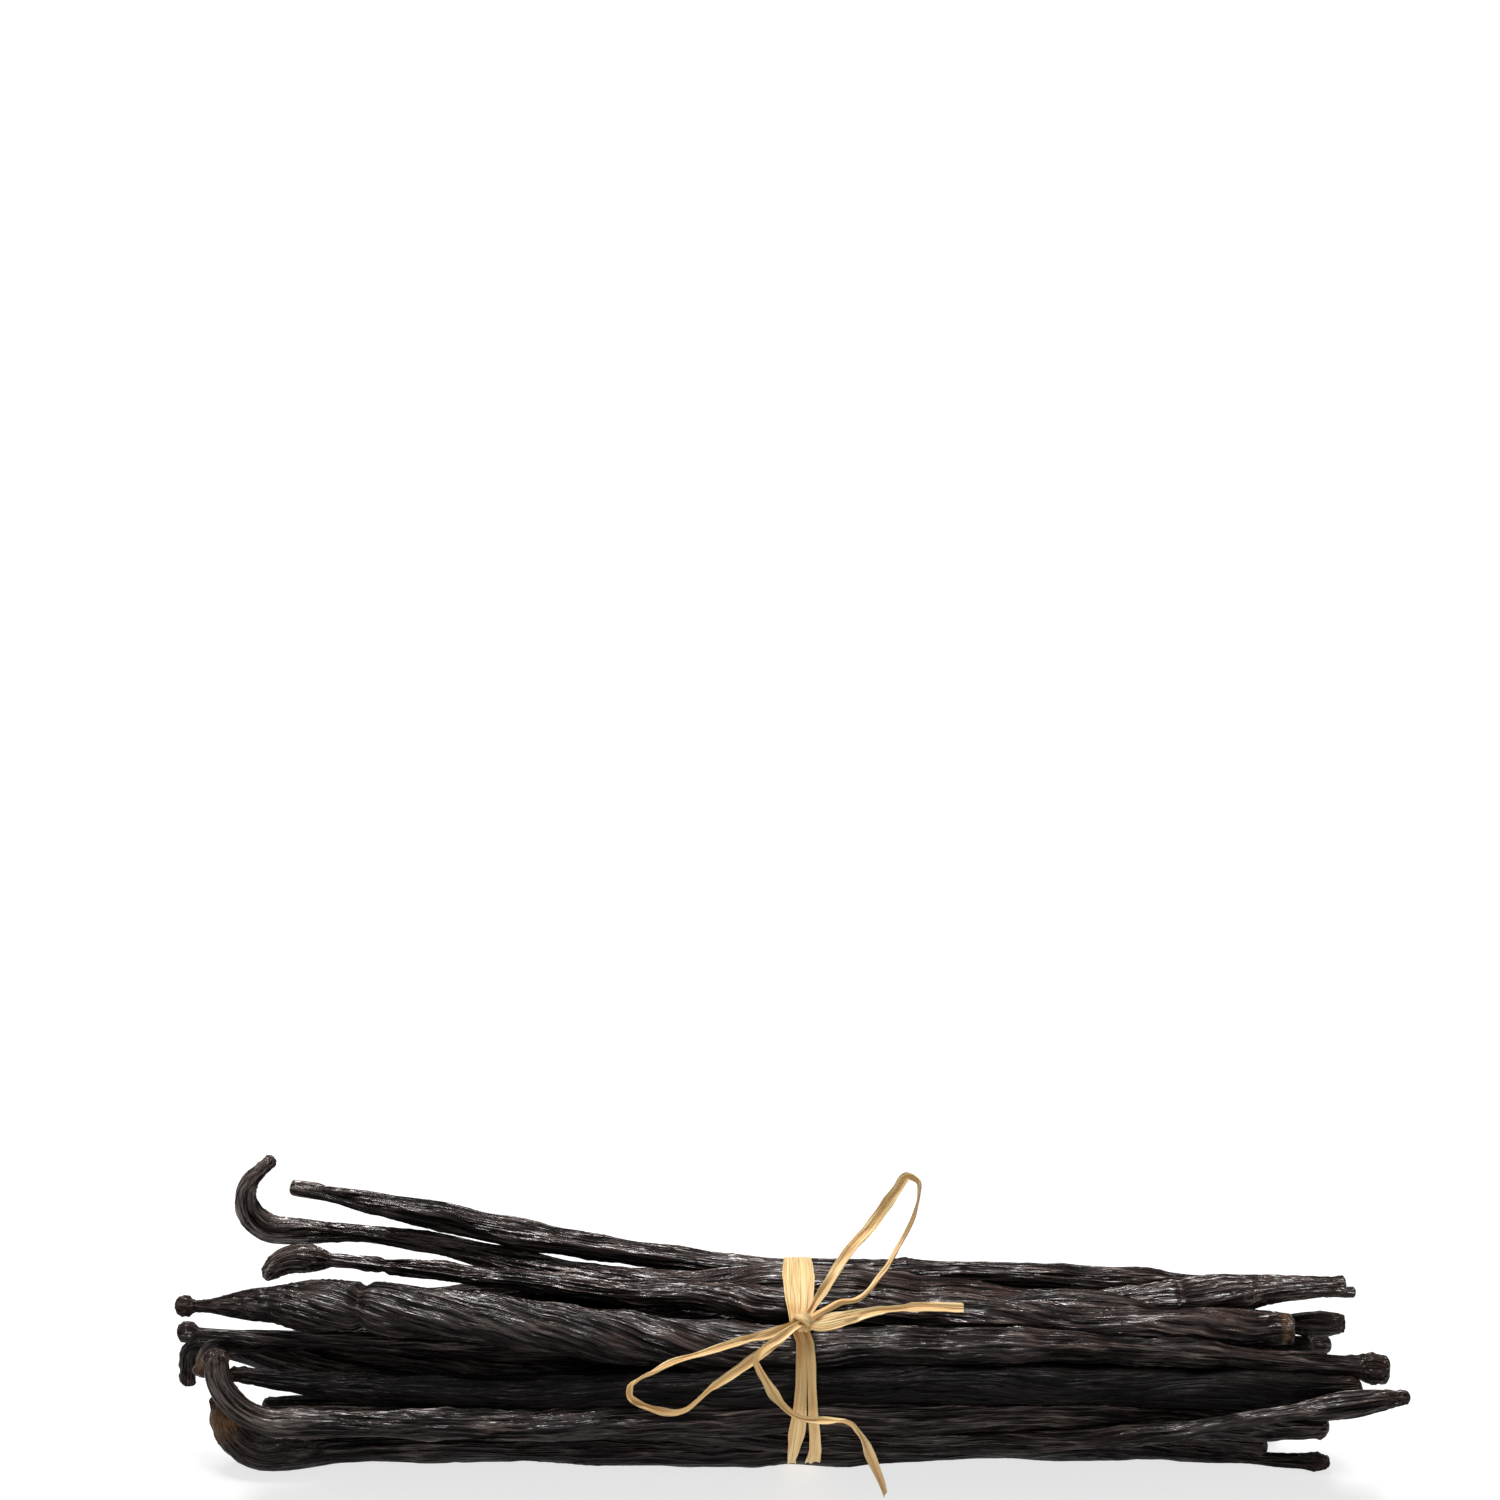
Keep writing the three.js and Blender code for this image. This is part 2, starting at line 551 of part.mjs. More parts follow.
const TAIL_FRONT = [
  [-0.5, -15, 29.3], [-2, -16.3, 28.7], [-3.5, -17.2, 28], [-4.6, -17.9, 27.1], [-5.2, -18.2, 26.1],
  [-4.8, -18.4, 24.9], [-3.8, -18.8, 23.1], [-2.8, -19.2, 21.4], [-1.3, -19.5, 19.4], [0.1, -19.8, 18.1],
  [1.7, -19.9, 17.3], [3.8, -19.9, 17], [6.4, -19.8, 16.8], [8, -19.7, 16.7], [9.1, -19.6, 16.1],
  [9.8, -19.5, 15], [10.8, -19.3, 13.1], [11.7, -18.8, 10.6], [12.7, -18, 7.6], [13.6, -17.2, 4.7],
  [14.3, -16.4, 1.9],
];
const STRANDS = {
  raffia_loop_left: { route: LOOP_LEFT, diameter: 1.2, steps: 28 },
  raffia_loop_right: { route: LOOP_RIGHT, diameter: 1.4, steps: 26 },
  raffia_tail_right: { route: TAIL_RIGHT, diameter: 1.5, steps: 9 },
  raffia_tail_front: { route: TAIL_FRONT, diameter: 1.4, steps: 21 },
};

function strand({ route, diameter, steps }) {
  const curve = new THREE.CatmullRomCurve3(route.map((point) => new THREE.Vector3(...point)));
  const section = new THREE.Shape();
  for (let s = 0; s < STRAND_SIDES; s += 1) {
    const angle = (2 * Math.PI * s) / STRAND_SIDES;
    const corner = [diameter / 2 * Math.cos(angle), diameter / 2 * Math.sin(angle)];
    if (s === 0) section.moveTo(...corner);
    else section.lineTo(...corner);
  }
  section.closePath();
  return new THREE.ExtrudeGeometry(section, { steps, extrudePath: curve, curveSegments: 1 });
}

// ---- the object ----

function named(name, geometry, material) {
  const mesh = new THREE.Mesh(geometry, material);
  mesh.name = name;
  return mesh;
}

const podSkin = new THREE.MeshStandardMaterial({ color: POD_COLOUR, roughness: 0.42, metalness: 0 });
const raffia = new THREE.MeshStandardMaterial({ color: RAFFIA_COLOUR, roughness: 0.55, metalness: 0 });

const bundle = new THREE.Group();
bundle.name = 'vanilla_pod_bundle';
bundle.position.set(-MIDDLE.x, -MIDDLE.y, 0);
bundle.add(named('vanilla_pods', geometryOf(podBody()), podSkin));
bundle.add(named('raffia_wrap_left', wrap(-1), raffia));
bundle.add(named('raffia_wrap_right', wrap(1), raffia));
bundle.add(named('raffia_knot', knot(), raffia));
for (const [name, spec] of Object.entries(STRANDS)) bundle.add(named(name, strand(spec), raffia));

export default bundle;
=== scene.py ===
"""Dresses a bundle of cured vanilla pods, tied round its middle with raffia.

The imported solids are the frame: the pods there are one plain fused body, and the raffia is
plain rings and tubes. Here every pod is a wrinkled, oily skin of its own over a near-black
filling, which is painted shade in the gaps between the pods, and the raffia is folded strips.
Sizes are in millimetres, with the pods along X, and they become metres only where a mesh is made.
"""

import logging
import math
from dataclasses import dataclass
from enum import Enum
from typing import Any, Optional, Sequence

import bpy
import numpy as np
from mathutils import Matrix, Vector


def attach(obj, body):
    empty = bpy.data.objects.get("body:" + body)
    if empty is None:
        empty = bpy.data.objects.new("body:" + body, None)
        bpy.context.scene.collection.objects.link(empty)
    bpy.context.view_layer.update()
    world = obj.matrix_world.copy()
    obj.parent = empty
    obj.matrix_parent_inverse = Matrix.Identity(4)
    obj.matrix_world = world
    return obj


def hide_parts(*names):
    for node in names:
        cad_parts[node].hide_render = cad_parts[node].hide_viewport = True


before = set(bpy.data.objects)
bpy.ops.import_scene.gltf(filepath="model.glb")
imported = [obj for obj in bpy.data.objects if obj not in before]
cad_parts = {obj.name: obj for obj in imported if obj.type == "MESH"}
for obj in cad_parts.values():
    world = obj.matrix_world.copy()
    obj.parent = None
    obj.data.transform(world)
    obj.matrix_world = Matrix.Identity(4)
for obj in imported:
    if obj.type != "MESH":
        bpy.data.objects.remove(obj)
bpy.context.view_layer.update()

Array = np.ndarray
BODY = "root"
METRES = 0.001

# The middle of the bundle's length and depth, which the frame puts at its origin.
MIDDLE = np.array([-0.7, 1.6, 0.0])

# The oval that the pods fill under the raffia.
TIE_X = 1.5
TIE_MIDDLE_Z = 15.9
TIE_HALF_DEPTH = 17.0
TIE_HALF_HEIGHT = 15.0
HELD_HALF_LENGTH = 3.0

# How the pods settle between the tie and their ends.
STATION_STEP = 3.0
STATIONS = -96.0 + STATION_STEP * np.arange(66)
SETTLE_ROUNDS = 80
SETTLE_FIT = 0.94
SETTLE_PUSH = 0.5
SETTLE_SMOOTH = 0.6
TIE_GRIP_START = 4.0
TIE_GRIP_LENGTH = 14.0
FLOOR_FLATTENING = 0.7
LYING_END_Z = 0.3

log = logging.getLogger("vanilla_bundle")


# ---------------------------------------------------------------- numbers


def smooth(value: Array) -> Array:
    """Eases 0..1 by 3t^2 - 2t^3, held at 0 and 1 outside."""
    t = np.clip(value, 0.0, 1.0)
    return t * t * (3.0 - 2.0 * t)


def mix(low: Any, high: Any, share: Any) -> Any:
    """Goes from low to high as share goes from 0 to 1."""
    return low + (high - low) * share


def unit(vectors: Array) -> Array:
    """Scales vectors, in the last axis, to length 1."""
    return vectors / np.linalg.norm(vectors, axis=-1, keepdims=True)


def turned(angle: float) -> Array:
    """The direction in the YZ plane at an angle in degrees, 0 along +Y and 90 up."""
    return np.array([0.0, math.cos(math.radians(angle)), math.sin(math.radians(angle))])


def per_vertex(values: Any, shape: tuple) -> Array:
    """Values that broadcast over a grid, as one number a vertex."""
    return np.broadcast_to(values, shape).ravel()


def with_poles(rows: Array) -> Array:
    """Rows of a grid, with the first and the last once more for its two poles."""
    return np.concatenate([rows, rows[[0, -1]]])


class Draw:
    """A repeatable run of numbers between 0 and 1."""

    MULTIPLIER = 16807
    MODULUS = 2147483647

    def __init__(self, state: int) -> None:
        """Starts the run at a state."""
        self.state = state

    def __call__(self) -> float:
        """The next number."""
        self.state = self.state * self.MULTIPLIER % self.MODULUS
        return self.state / self.MODULUS

    def on_top(self, value: float, spread: float) -> float:
        """A value with a drawn part of the spread on top; a spread of 0 draws nothing."""
        return value + spread * self() if spread else value


@dataclass
class Ripple:
    """A smooth noise over an angle and a length, seamless round the angle.

    It is a sum of waves cos(m a + 2 pi s / w + p), each with a drawn whole number m of
    turns, a drawn wavelength w and a drawn phase p, scaled to about -1..1.
    """

    draws: np.random.Generator
    turns: int
    wavelength: float
    fewest: int = 0
    waves: int = 9

    def __post_init__(self) -> None:
        """Draws the waves."""
        self.counts = self.draws.integers(self.fewest, self.turns + 1, self.waves)
        self.lengths = self.wavelength * self.draws.uniform(0.6, 1.9, self.waves)
        self.phases = self.draws.uniform(0.0, 2.0 * math.pi, self.waves)
        self.signs = self.draws.choice([-1.0, 1.0], self.waves)

    def __call__(self, angle: Array, along: Array) -> Array:
        """Sums the waves.

        Args:
            angle: angles in radians.
            along: lengths in mm, of a shape that goes with the angles.

        Returns:
            The noise, in the two shapes broadcast together.
        """
        total = 0.0
        for count, length, phase, sign in zip(self.counts, self.lengths, self.phases, self.signs):
            total = total + np.cos(count * angle + sign * 2.0 * math.pi * along / length + phase)
        return total / math.sqrt(self.waves)


@dataclass
class Wrinkles:
    """Sharp ridges that wander along a pod, meet and part.

    A crest runs wherever a ripple changes sign. The ripple turns about half as often round the
    girth as there are crests.
    """

    draws: np.random.Generator
    girth: float
    spacing: float
    wavelength: float
    sharpness: float

    def __post_init__(self) -> None:
        """Draws the ripple."""
        turns = max(2, round(self.girth / self.spacing / 2 * 1.25))
        fewest = math.ceil(turns * 0.55)
        self.ripple = Ripple(self.draws, turns, self.wavelength, fewest, waves=12)

    def __call__(self, angle: Array, along: Array) -> Array:
        """The height of the ridges, 0 between them and 1 on a crest."""
        return np.exp(-self.sharpness * np.abs(self.ripple(angle, along)))


class Route:
    """A smooth line through points, measured along its length in mm."""

    REACH = 0.15

    def __init__(self, points: Array) -> None:
        """Keeps the points, their distances along the line and the slope at each."""
        self.points = np.asarray(points, dtype=float)
        steps = np.linalg.norm(np.diff(self.points, axis=0), axis=1)
        self.places = np.concatenate([[0.0], np.cumsum(steps)])
        self.length = float(self.places[-1])
        self.slopes = np.gradient(self.points, self.places, axis=0)

    def at(self, along: Array) -> Array:
        """The points at given lengths, by the cubic that has the slopes at both neighbours.

        Args:
            along: lengths in mm.

        Returns:
            One point a length.
        """
        index = np.clip(np.searchsorted(self.places, along, side="right") - 1, 0, len(self.places) - 2)
        span = self.places[index + 1] - self.places[index]
        t = np.clip((along - self.places[index]) / span, 0.0, 1.0)[:, None]
        span = span[:, None]
        start, stop = self.points[index], self.points[index + 1]
        rise, fall = self.slopes[index] * span, self.slopes[index + 1] * span
        square, cube = t * t, t * t * t
        return ((2 * cube - 3 * square + 1) * start + (cube - 2 * square + t) * rise
                + (3 * square - 2 * cube) * stop + (cube - square) * fall)

    def heading(self, along: Array) -> Array:
        """The direction of the line at given lengths, from points a little before and after."""
        ahead = self.at(np.clip(along + self.REACH, 0.0, self.length))
        behind = self.at(np.clip(along - self.REACH, 0.0, self.length))
        return unit(ahead - behind)


# ---------------------------------------------------------------- meshes


def tube_faces(rows: int, columns: int) -> list:
    """The faces of a grid closed round its columns, with a pole before and after its rows.

    Args:
        rows: how many rings of vertices.
        columns: how many vertices in a ring.

    Returns:
        Quads between the rings and a fan of triangles at each pole, facing out. The poles
        are the two vertices after the grid's own.
    """
    ring = np.arange(columns)
    after = (ring + 1) % columns
    start = (np.arange(rows - 1) * columns)[:, None]
    following = start + columns
    quads = np.stack([start + ring, start + after, following + after, following + ring], axis=-1)
    first, last = rows * columns, rows * columns + 1
    base = (rows - 1) * columns
    opening = np.stack([np.full(columns, first), after, ring], axis=-1)
    closing = np.stack([np.full(columns, last), base + ring, base + after], axis=-1)
    return quads.reshape(-1, 4).tolist() + opening.tolist() + closing.tolist()


def ring_faces(rows: int, columns: int) -> list:
    """The quads of a grid that is closed both ways, facing out."""
    ring = np.arange(columns)
    after = (ring + 1) % columns
    start = (np.arange(rows) * columns)[:, None]
    following = ((np.arange(rows) + 1) % rows * columns)[:, None]
    quads = np.stack([start + ring, start + after, following + after, following + ring], axis=-1)
    return quads.reshape(-1, 4).tolist()


def piece(name: str, vertices: Array, faces: list, marks: dict,
          material: bpy.types.Material) -> bpy.types.Object:
    """Makes a smooth-shaded mesh piece from vertices in mm.

    Args:
        name: the piece's name.
        vertices: one row a vertex, in mm.
        faces: lists of vertex numbers.
        marks: name to values, one a vertex, that the material reads: numbers or vectors.
        material: what it is made of.

    Returns:
        The new object, at the origin.
    """
    mesh = bpy.data.meshes.new(name)
    mesh.from_pydata(((vertices - MIDDLE) * METRES).tolist(), [], faces)
    for label, values in marks.items():
        kind = "FLOAT" if values.ndim == 1 else "FLOAT_VECTOR"
        stored = mesh.attributes.new(label, kind, "POINT")
        stored.data.foreach_set("value" if values.ndim == 1 else "vector", values.astype(np.float32).ravel())
    mesh.shade_smooth()
    mesh.materials.append(material)
    made = bpy.data.objects.new(name, mesh)
    bpy.context.scene.collection.objects.link(made)
    log.info("%s: %d faces", name, len(faces))
    return made


def fit_to_frame(made: bpy.types.Object, slot: str, *nodes: str) -> None:
    """Rides a piece on the one body and stands it for some nodes, which it hides."""
    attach(made, BODY)
    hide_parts(*nodes)


# ---------------------------------------------------------------- shader


class Wire:
    """A shader socket that Python's arithmetic works on, adding Math nodes as it goes."""

    def __init__(self, bench: "Bench", socket: bpy.types.NodeSocket) -> None:
        """Wraps an output socket of a bench's tree."""
        self.bench = bench
        self.socket = socket

    def _math(self, operation: str, *values: Any) -> "Wire":
        """Adds a Math node on wires or numbers."""
        return self.bench.add("ShaderNodeMath", {"operation": operation}, dict(enumerate(values)))

    def __add__(self, other: Any) -> "Wire":
        """Sum."""
        return self._math("ADD", self, other)

    def __sub__(self, other: Any) -> "Wire":
        """Difference."""
        return self._math("SUBTRACT", self, other)

    def __rsub__(self, other: Any) -> "Wire":
        """Difference from a number."""
        return self._math("SUBTRACT", other, self)

    def __mul__(self, other: Any) -> "Wire":
        """Product."""
        return self._math("MULTIPLY", self, other)

    def __abs__(self) -> "Wire":
        """Size without sign."""
        return self._math("ABSOLUTE", self)

    __radd__ = __add__
    __rmul__ = __mul__

    def held(self) -> "Wire":
        """The value, held between 0 and 1."""
        return self.bench.add("ShaderNodeClamp", {}, {"Value": self})


class Bench:
    """A material's node tree, and the one method that adds nodes to it."""

    def __init__(self, name: str) -> None:
        """Makes an empty material."""
        self.material = bpy.data.materials.new(name)
        self.material.use_nodes = True
        self.tree = self.material.node_tree
        self.tree.nodes.clear()

    def add(self, kind: str, settings: dict, inputs: dict, output: Any = 0) -> Wire:
        """Adds a node.

        Args:
            kind: the node's type.
            settings: its properties.
            inputs: socket name, identifier or number to a wire or a value.
            output: name, identifier or number of the output that is wanted.

        Returns:
            That output.
        """
        node = self.tree.nodes.new(kind)
        for key, value in settings.items():
            setattr(node, key, value)
        for key, value in inputs.items():
            socket = self._socket(node.inputs, key)
            if isinstance(value, Wire):
                self.tree.links.new(value.socket, socket)
            else:
                socket.default_value = value
        return Wire(self, self._socket(node.outputs, output) if node.outputs else None)

    @staticmethod
    def _socket(sockets: Any, key: Any) -> bpy.types.NodeSocket:
        """One of a node's sockets by number, by identifier or by name."""
        if isinstance(key, int):
            return sockets[key]
        return next((socket for socket in sockets if socket.identifier == key), None) or sockets[key]

    def mark(self, name: str) -> Wire:
        """A number that the mesh carries at each vertex."""
        return self.add("ShaderNodeAttribute", {"attribute_name": name}, {}, "Fac")

    def place(self, name: str) -> Wire:
        """A vector that the mesh carries at each vertex."""
        return self.add("ShaderNodeAttribute", {"attribute_name": name}, {}, "Vector")

    def object_place(self) -> Wire:
        """The Object coordinates."""
        return self.add("ShaderNodeTexCoord", {}, {}, "Object")

    def stretched(self, place: Wire, *scale: float) -> Wire:
        """A place, times a scale for each axis."""
        return self.add("ShaderNodeVectorMath", {"operation": "MULTIPLY"}, {0: place, 1: scale})

    def noise(self, place: Wire, scale: float, detail: float = 3.0, roughness: float = 0.55) -> Wire:
        """Cloud noise, 0..1."""
        inputs = {"Vector": place, "Scale": scale, "Detail": detail, "Roughness": roughness}
        return self.add("ShaderNodeTexNoise", {}, inputs, "Fac")

    def wrinkles(self, place: Wire, scale: float, sharpness: float) -> Wire:
        """Sharp crests, 0..1, where a noise passes its middle."""
        return (1.0 - abs(self.noise(place, scale, 1.5, 0.5) - 0.5) * sharpness).held()

    def blend(self, first: Any, second: Any, share: Any) -> Wire:
        """A mix of two colours."""
        inputs = {"A_Color": self._colour(first), "B_Color": self._colour(second), "Factor_Float": share}
        return self.add("ShaderNodeMix", {"data_type": "RGBA"}, inputs, "Result_Color")

    @staticmethod
    def _colour(value: Any) -> Any:
        """A colour socket's value from three numbers, or the wire itself."""
        return value if isinstance(value, Wire) else (*value, 1.0)

    def bump(self, height: Wire, depth: float, under: Optional[Wire] = None) -> Wire:
        """A normal from a height of 0..1 that stands for a depth in mm."""
        inputs = {"Height": height, "Strength": 1.0, "Distance": depth * METRES}
        if under is not None:
            inputs["Normal"] = under
        return self.add("ShaderNodeBump", {}, inputs, "Normal")

    def finish(self, inputs: dict, second: Optional[dict] = None, share: Any = 0.0) -> bpy.types.Material:
        """Closes the tree and gives the material.

        Args:
            inputs: the sockets of its Principled shader.
            second: those of a second one, if it is a mix of two.
            share: how much of the second one is mixed in.

        Returns:
            The material.
        """
        shader = self.add("ShaderNodeBsdfPrincipled", {}, inputs)
        if second is not None:
            over = self.add("ShaderNodeBsdfPrincipled", {}, second)
            shader = self.add("ShaderNodeMixShader", {}, {0: share, 1: shader, 2: over})
        self.add("ShaderNodeOutputMaterial", {}, {"Surface": shader})
        return self.material


@dataclass(frozen=True)
class PodSkinFinish:
    """Cured pod skin: near-black brown, with oily crests on sharp fine wrinkles that run lengthways.

    A pattern is (scale, stretch): how often it changes a millimetre across the pod, and what
    part of that along it. Depths are in millimetres.
    """

    # painted shade: the furrow colour darkens the valleys between the crests
    painted_furrow_shade: tuple = (0.0026, 0.0020, 0.0021)
    crest: tuple = (0.068, 0.043, 0.036)
    # painted highlight: pale lines on the oily crests
    painted_crest_glint: tuple = (0.34, 0.265, 0.225)
    russet: tuple = (0.060, 0.022, 0.017)
    # painted light on the face of a hooked end's curl
    dry: tuple = (0.21, 0.165, 0.145)
    knob: tuple = (0.055, 0.030, 0.022)
    scar: tuple = (0.150, 0.075, 0.032)
    wrinkle_pattern: tuple = (1.25, 0.045)
    wrinkle_sharpness: float = 7.0
    wrinkle_depth: float = 0.38
    fine_pattern: tuple = (2.4, 0.05)
    fine_sharpness: float = 6.0
    fine_depth: float = 0.13
    grain_depth: float = 0.03
    dull_specular: float = 0.08
    oil_specular: float = 0.7
    oil_roughness: float = 0.2

    def make(self) -> bpy.types.Material:
        """Builds the material from marks of grain, relief, tips, scars, tone with painted light and shade,
        and painted curl light.
        """
        bench = Bench("pod_skin")
        grain = bench.place("grain")
        relief = bench.mark("relief")
        tip = bench.mark("tip")
        tone = bench.mark("tone")
        scar = bench.mark("scar")
        wrinkles = self.ridged(bench, grain, self.wrinkle_pattern, self.wrinkle_sharpness)
        fine = self.ridged(bench, grain, self.fine_pattern, self.fine_sharpness)
        patches = bench.noise(bench.stretched(grain, 0.5, 0.5, 0.12), 0.55, 3.0)
        speckle = bench.noise(bench.stretched(grain, 1.0, 1.0, 0.5), 5.0, 3.0)
        raised = (relief * 0.55 + wrinkles * 0.60 + fine * 0.2 - 0.22).held()
        # Painted highlights: pale lines along the crests, stronger on pods with a higher tone.
        painted_crest_glints = (wrinkles * relief * 1.3 + fine * relief * 0.5 - 0.45).held()
        warm = ((patches - 0.47) * 4.0 + (tone - 0.5) * 1.2).held()
        # Painted shade: the furrows are darker than the crests, and the tone mark carries painted light and
        # shade as well as each pod's own tone.
        base = bench.blend(self.painted_furrow_shade, self.crest, raised * (tone * 0.75 + 0.1))
        base = bench.blend(base, self.painted_crest_glint, painted_crest_glints * (patches * 1.5 * tone))
        base = bench.blend(base, self.russet, warm * raised * 0.5)
        # Painted light on the curls.
        base = bench.blend(base, self.dry, bench.mark("dry") * (raised * 0.7 + wrinkles * 0.4))
        base = bench.blend(base, self.knob, (tip * (0.2 + speckle * 0.8)).held() * 0.7)
        base = bench.blend(base, self.scar, (scar * (0.3 + speckle * 1.2)).held())
        roughness = 0.52 + patches * 0.10 + tip * 0.10 - raised * 0.20
        shine = (wrinkles * 0.4 + raised * 0.45) * (tone * 1.5 + 0.05)
        surface = bench.bump(wrinkles, self.wrinkle_depth)
        surface = bench.bump(fine, self.fine_depth, surface)
        surface = bench.bump(speckle, self.grain_depth, surface)
        dull = {
            "Base Color": base, "Roughness": roughness, "Normal": surface,
            "Specular IOR Level": self.dull_specular,
        }
        oily = {**dull, "Roughness": self.oil_roughness, "Specular IOR Level": self.oil_specular}
        return bench.finish(dull, oily, shine)

    @staticmethod
    def ridged(bench: Bench, grain: Wire, pattern: tuple, sharpness: float) -> Wire:
        """Wrinkles along the grain."""
        scale, stretch = pattern
        return bench.wrinkles(bench.stretched(grain, 1.0, 1.0, stretch), scale, sharpness)


@dataclass(frozen=True)
class GapShadeFinish:
    """Painted shade for the unlit inside of the bundle: a dull near-black brown, mottled along the pods."""

    deep: tuple = (0.0035, 0.0025, 0.0022)
    light: tuple = (0.009, 0.006, 0.005)
    changes_a_metre: tuple = (60.0, 900.0, 900.0)
    roughness: float = 0.7
    specular: float = 0.08

    def make(self) -> bpy.types.Material:
        """Builds the material."""
        bench = Bench("pod_gap_shade")
        mottle = bench.noise(bench.stretched(bench.object_place(), *self.changes_a_metre), 1.0)
        return bench.finish({
            "Base Color": bench.blend(self.deep, self.light, mottle), "Roughness": self.roughness,
            "Specular IOR Level": self.specular,
        })


@dataclass(frozen=True)
class RaffiaFinish:
    """Dry raffia strip: pale straw with golden streaks and tan lines along it, and painted shade, golden and
    tan, in its folds.
    """

    pale: tuple = (0.86, 0.67, 0.33)
    gold: tuple = (0.79, 0.48, 0.18)
    tan: tuple = (0.58, 0.29, 0.09)
    fibre_depth: float = 0.04
    line_depth: float = 0.12
    glow: float = 0.1
    glow_reach: tuple = (0.0010, 0.0007, 0.0003)

    def make(self) -> bpy.types.Material:
        """Builds the material; it reads marks of grain, of painted shade in the folds and of how golden it
        is.
        """
        bench = Bench("raffia_strip")
        grain = bench.place("grain")
        fold_shade = bench.mark("fold_shade")
        fibres = bench.noise(bench.stretched(grain, 1.0, 1.0, 0.05), 5.0, 4.0, 0.6)
        streaks = bench.noise(bench.stretched(grain, 1.0, 1.0, 0.03), 1.8, 2.0)
        blotches = bench.noise(bench.stretched(grain, 0.3, 0.3, 0.12), 1.2, 2.0)
        lines = bench.wrinkles(bench.stretched(grain, 1.0, 1.0, 0.035), 1.7, 7.0)
        # Painted shade: golden, then tan, the deeper the strip lies in a fold.
        golden = fold_shade * 0.9 + (streaks - 0.5) * 1.2 + (blotches - 0.5) * 0.7 + bench.mark("age")
        dark = fold_shade * fold_shade * 0.75 + (fibres - 0.55) * 0.9
        base = bench.blend(self.pale, self.gold, golden.held())
        base = bench.blend(base, self.tan, dark.held())
        base = bench.blend(base, self.tan, lines * (0.25 + blotches * 0.5))
        surface = bench.bump(1.0 - lines, self.line_depth)
        surface = bench.bump(fibres, self.fibre_depth, surface)
        return bench.finish({
            "Base Color": base, "Roughness": 0.42 + fibres * 0.2, "Normal": surface,
            "Subsurface Weight": self.glow, "Subsurface Radius": self.glow_reach,
        })


@dataclass(frozen=True)
class FloorFinish:
    """A white studio floor that is lit from within, so that shadows on it stay faint."""

    light: tuple = (0.34, 0.34, 0.34)
    shade: tuple = (0.32, 0.32, 0.32)
    patches_a_metre: float = 6.0
    roughness: float = 0.75
    specular: float = 0.1
    glow: float = 0.74

    def make(self) -> bpy.types.Material:
        """Builds the material, with a faint unevenness."""
        bench = Bench("studio_floor")
        patches = bench.noise(bench.object_place(), self.patches_a_metre)
        return bench.finish({
            "Base Color": bench.blend(self.light, self.shade, patches), "Roughness": self.roughness,
            "Specular IOR Level": self.specular,
            "Emission Color": (1.0, 1.0, 1.0, 1.0), "Emission Strength": self.glow,
        })


# ---------------------------------------------------------------- pods


class Skin(Enum):
    """How a pod's skin has dried: (wrinkle depth mm, waviness, ridge spacing mm, folds)."""

    FINE = (0.24, 0.30, 0.95, 1.2)
    WAVY = (0.36, 0.42, 1.15, 1.2)
    PLUMP = (0.16, 0.30, 1.10, 1.2)
    TWISTED = (0.27, 0.20, 0.90, 0.5)


class Detail(Enum):
    """How finely a pod's skin is meshed: (rings, columns)."""

    FULL = (350, 104)
    PART = (200, 56)
    PLAIN = (110, 32)


class Cap(Enum):
    """How a pod ends: (length of its rounding and depth of its dimple, in tip widths)."""

    ROUND = (0.40, 0.0)
    BLUNT = (0.16, 0.12)


@dataclass(frozen=True)
class Knob:
    """A swelling near a pod's end, such as its stalk end, in mm from the tip."""

    size: float
    at: float
    spread: float


@dataclass(frozen=True)
class Crease:
    """A fold across a pod, in mm from its left tip: its depth, its width and how it leans."""

    at: float
    depth: float
    spread: float
    lean: float = 0.6

    def cut(self, angle: Array, along: Array) -> Array:
        """How deep it is cut: exp(-d^2), with d the distance from it in its widths."""
        return self.depth * np.exp(-((along - self.at - self.lean * np.cos(angle)) / self.spread) ** 2)


@dataclass(frozen=True)
class PodEnd:
    """One end of a pod: its tip and taper, and how its line bows and sways from the tie.

    The line reaches the tip's (y, z) by a power of the way, the ease. The skin is crumpled and
    brown for some mm from the tip, and a scar is a tan ring at some mm from it.
    """

    x: float
    y: float
    z: float
    tip: float
    taper: float
    ease: float = 1.5
    bow_y: float = 0.0
    bow_z: float = 0.0
    sway: float = 0.0
    knobs: tuple = ()
    cap: Cap = Cap.ROUND
    brown: float = 6.0
    scar: float = 0.0


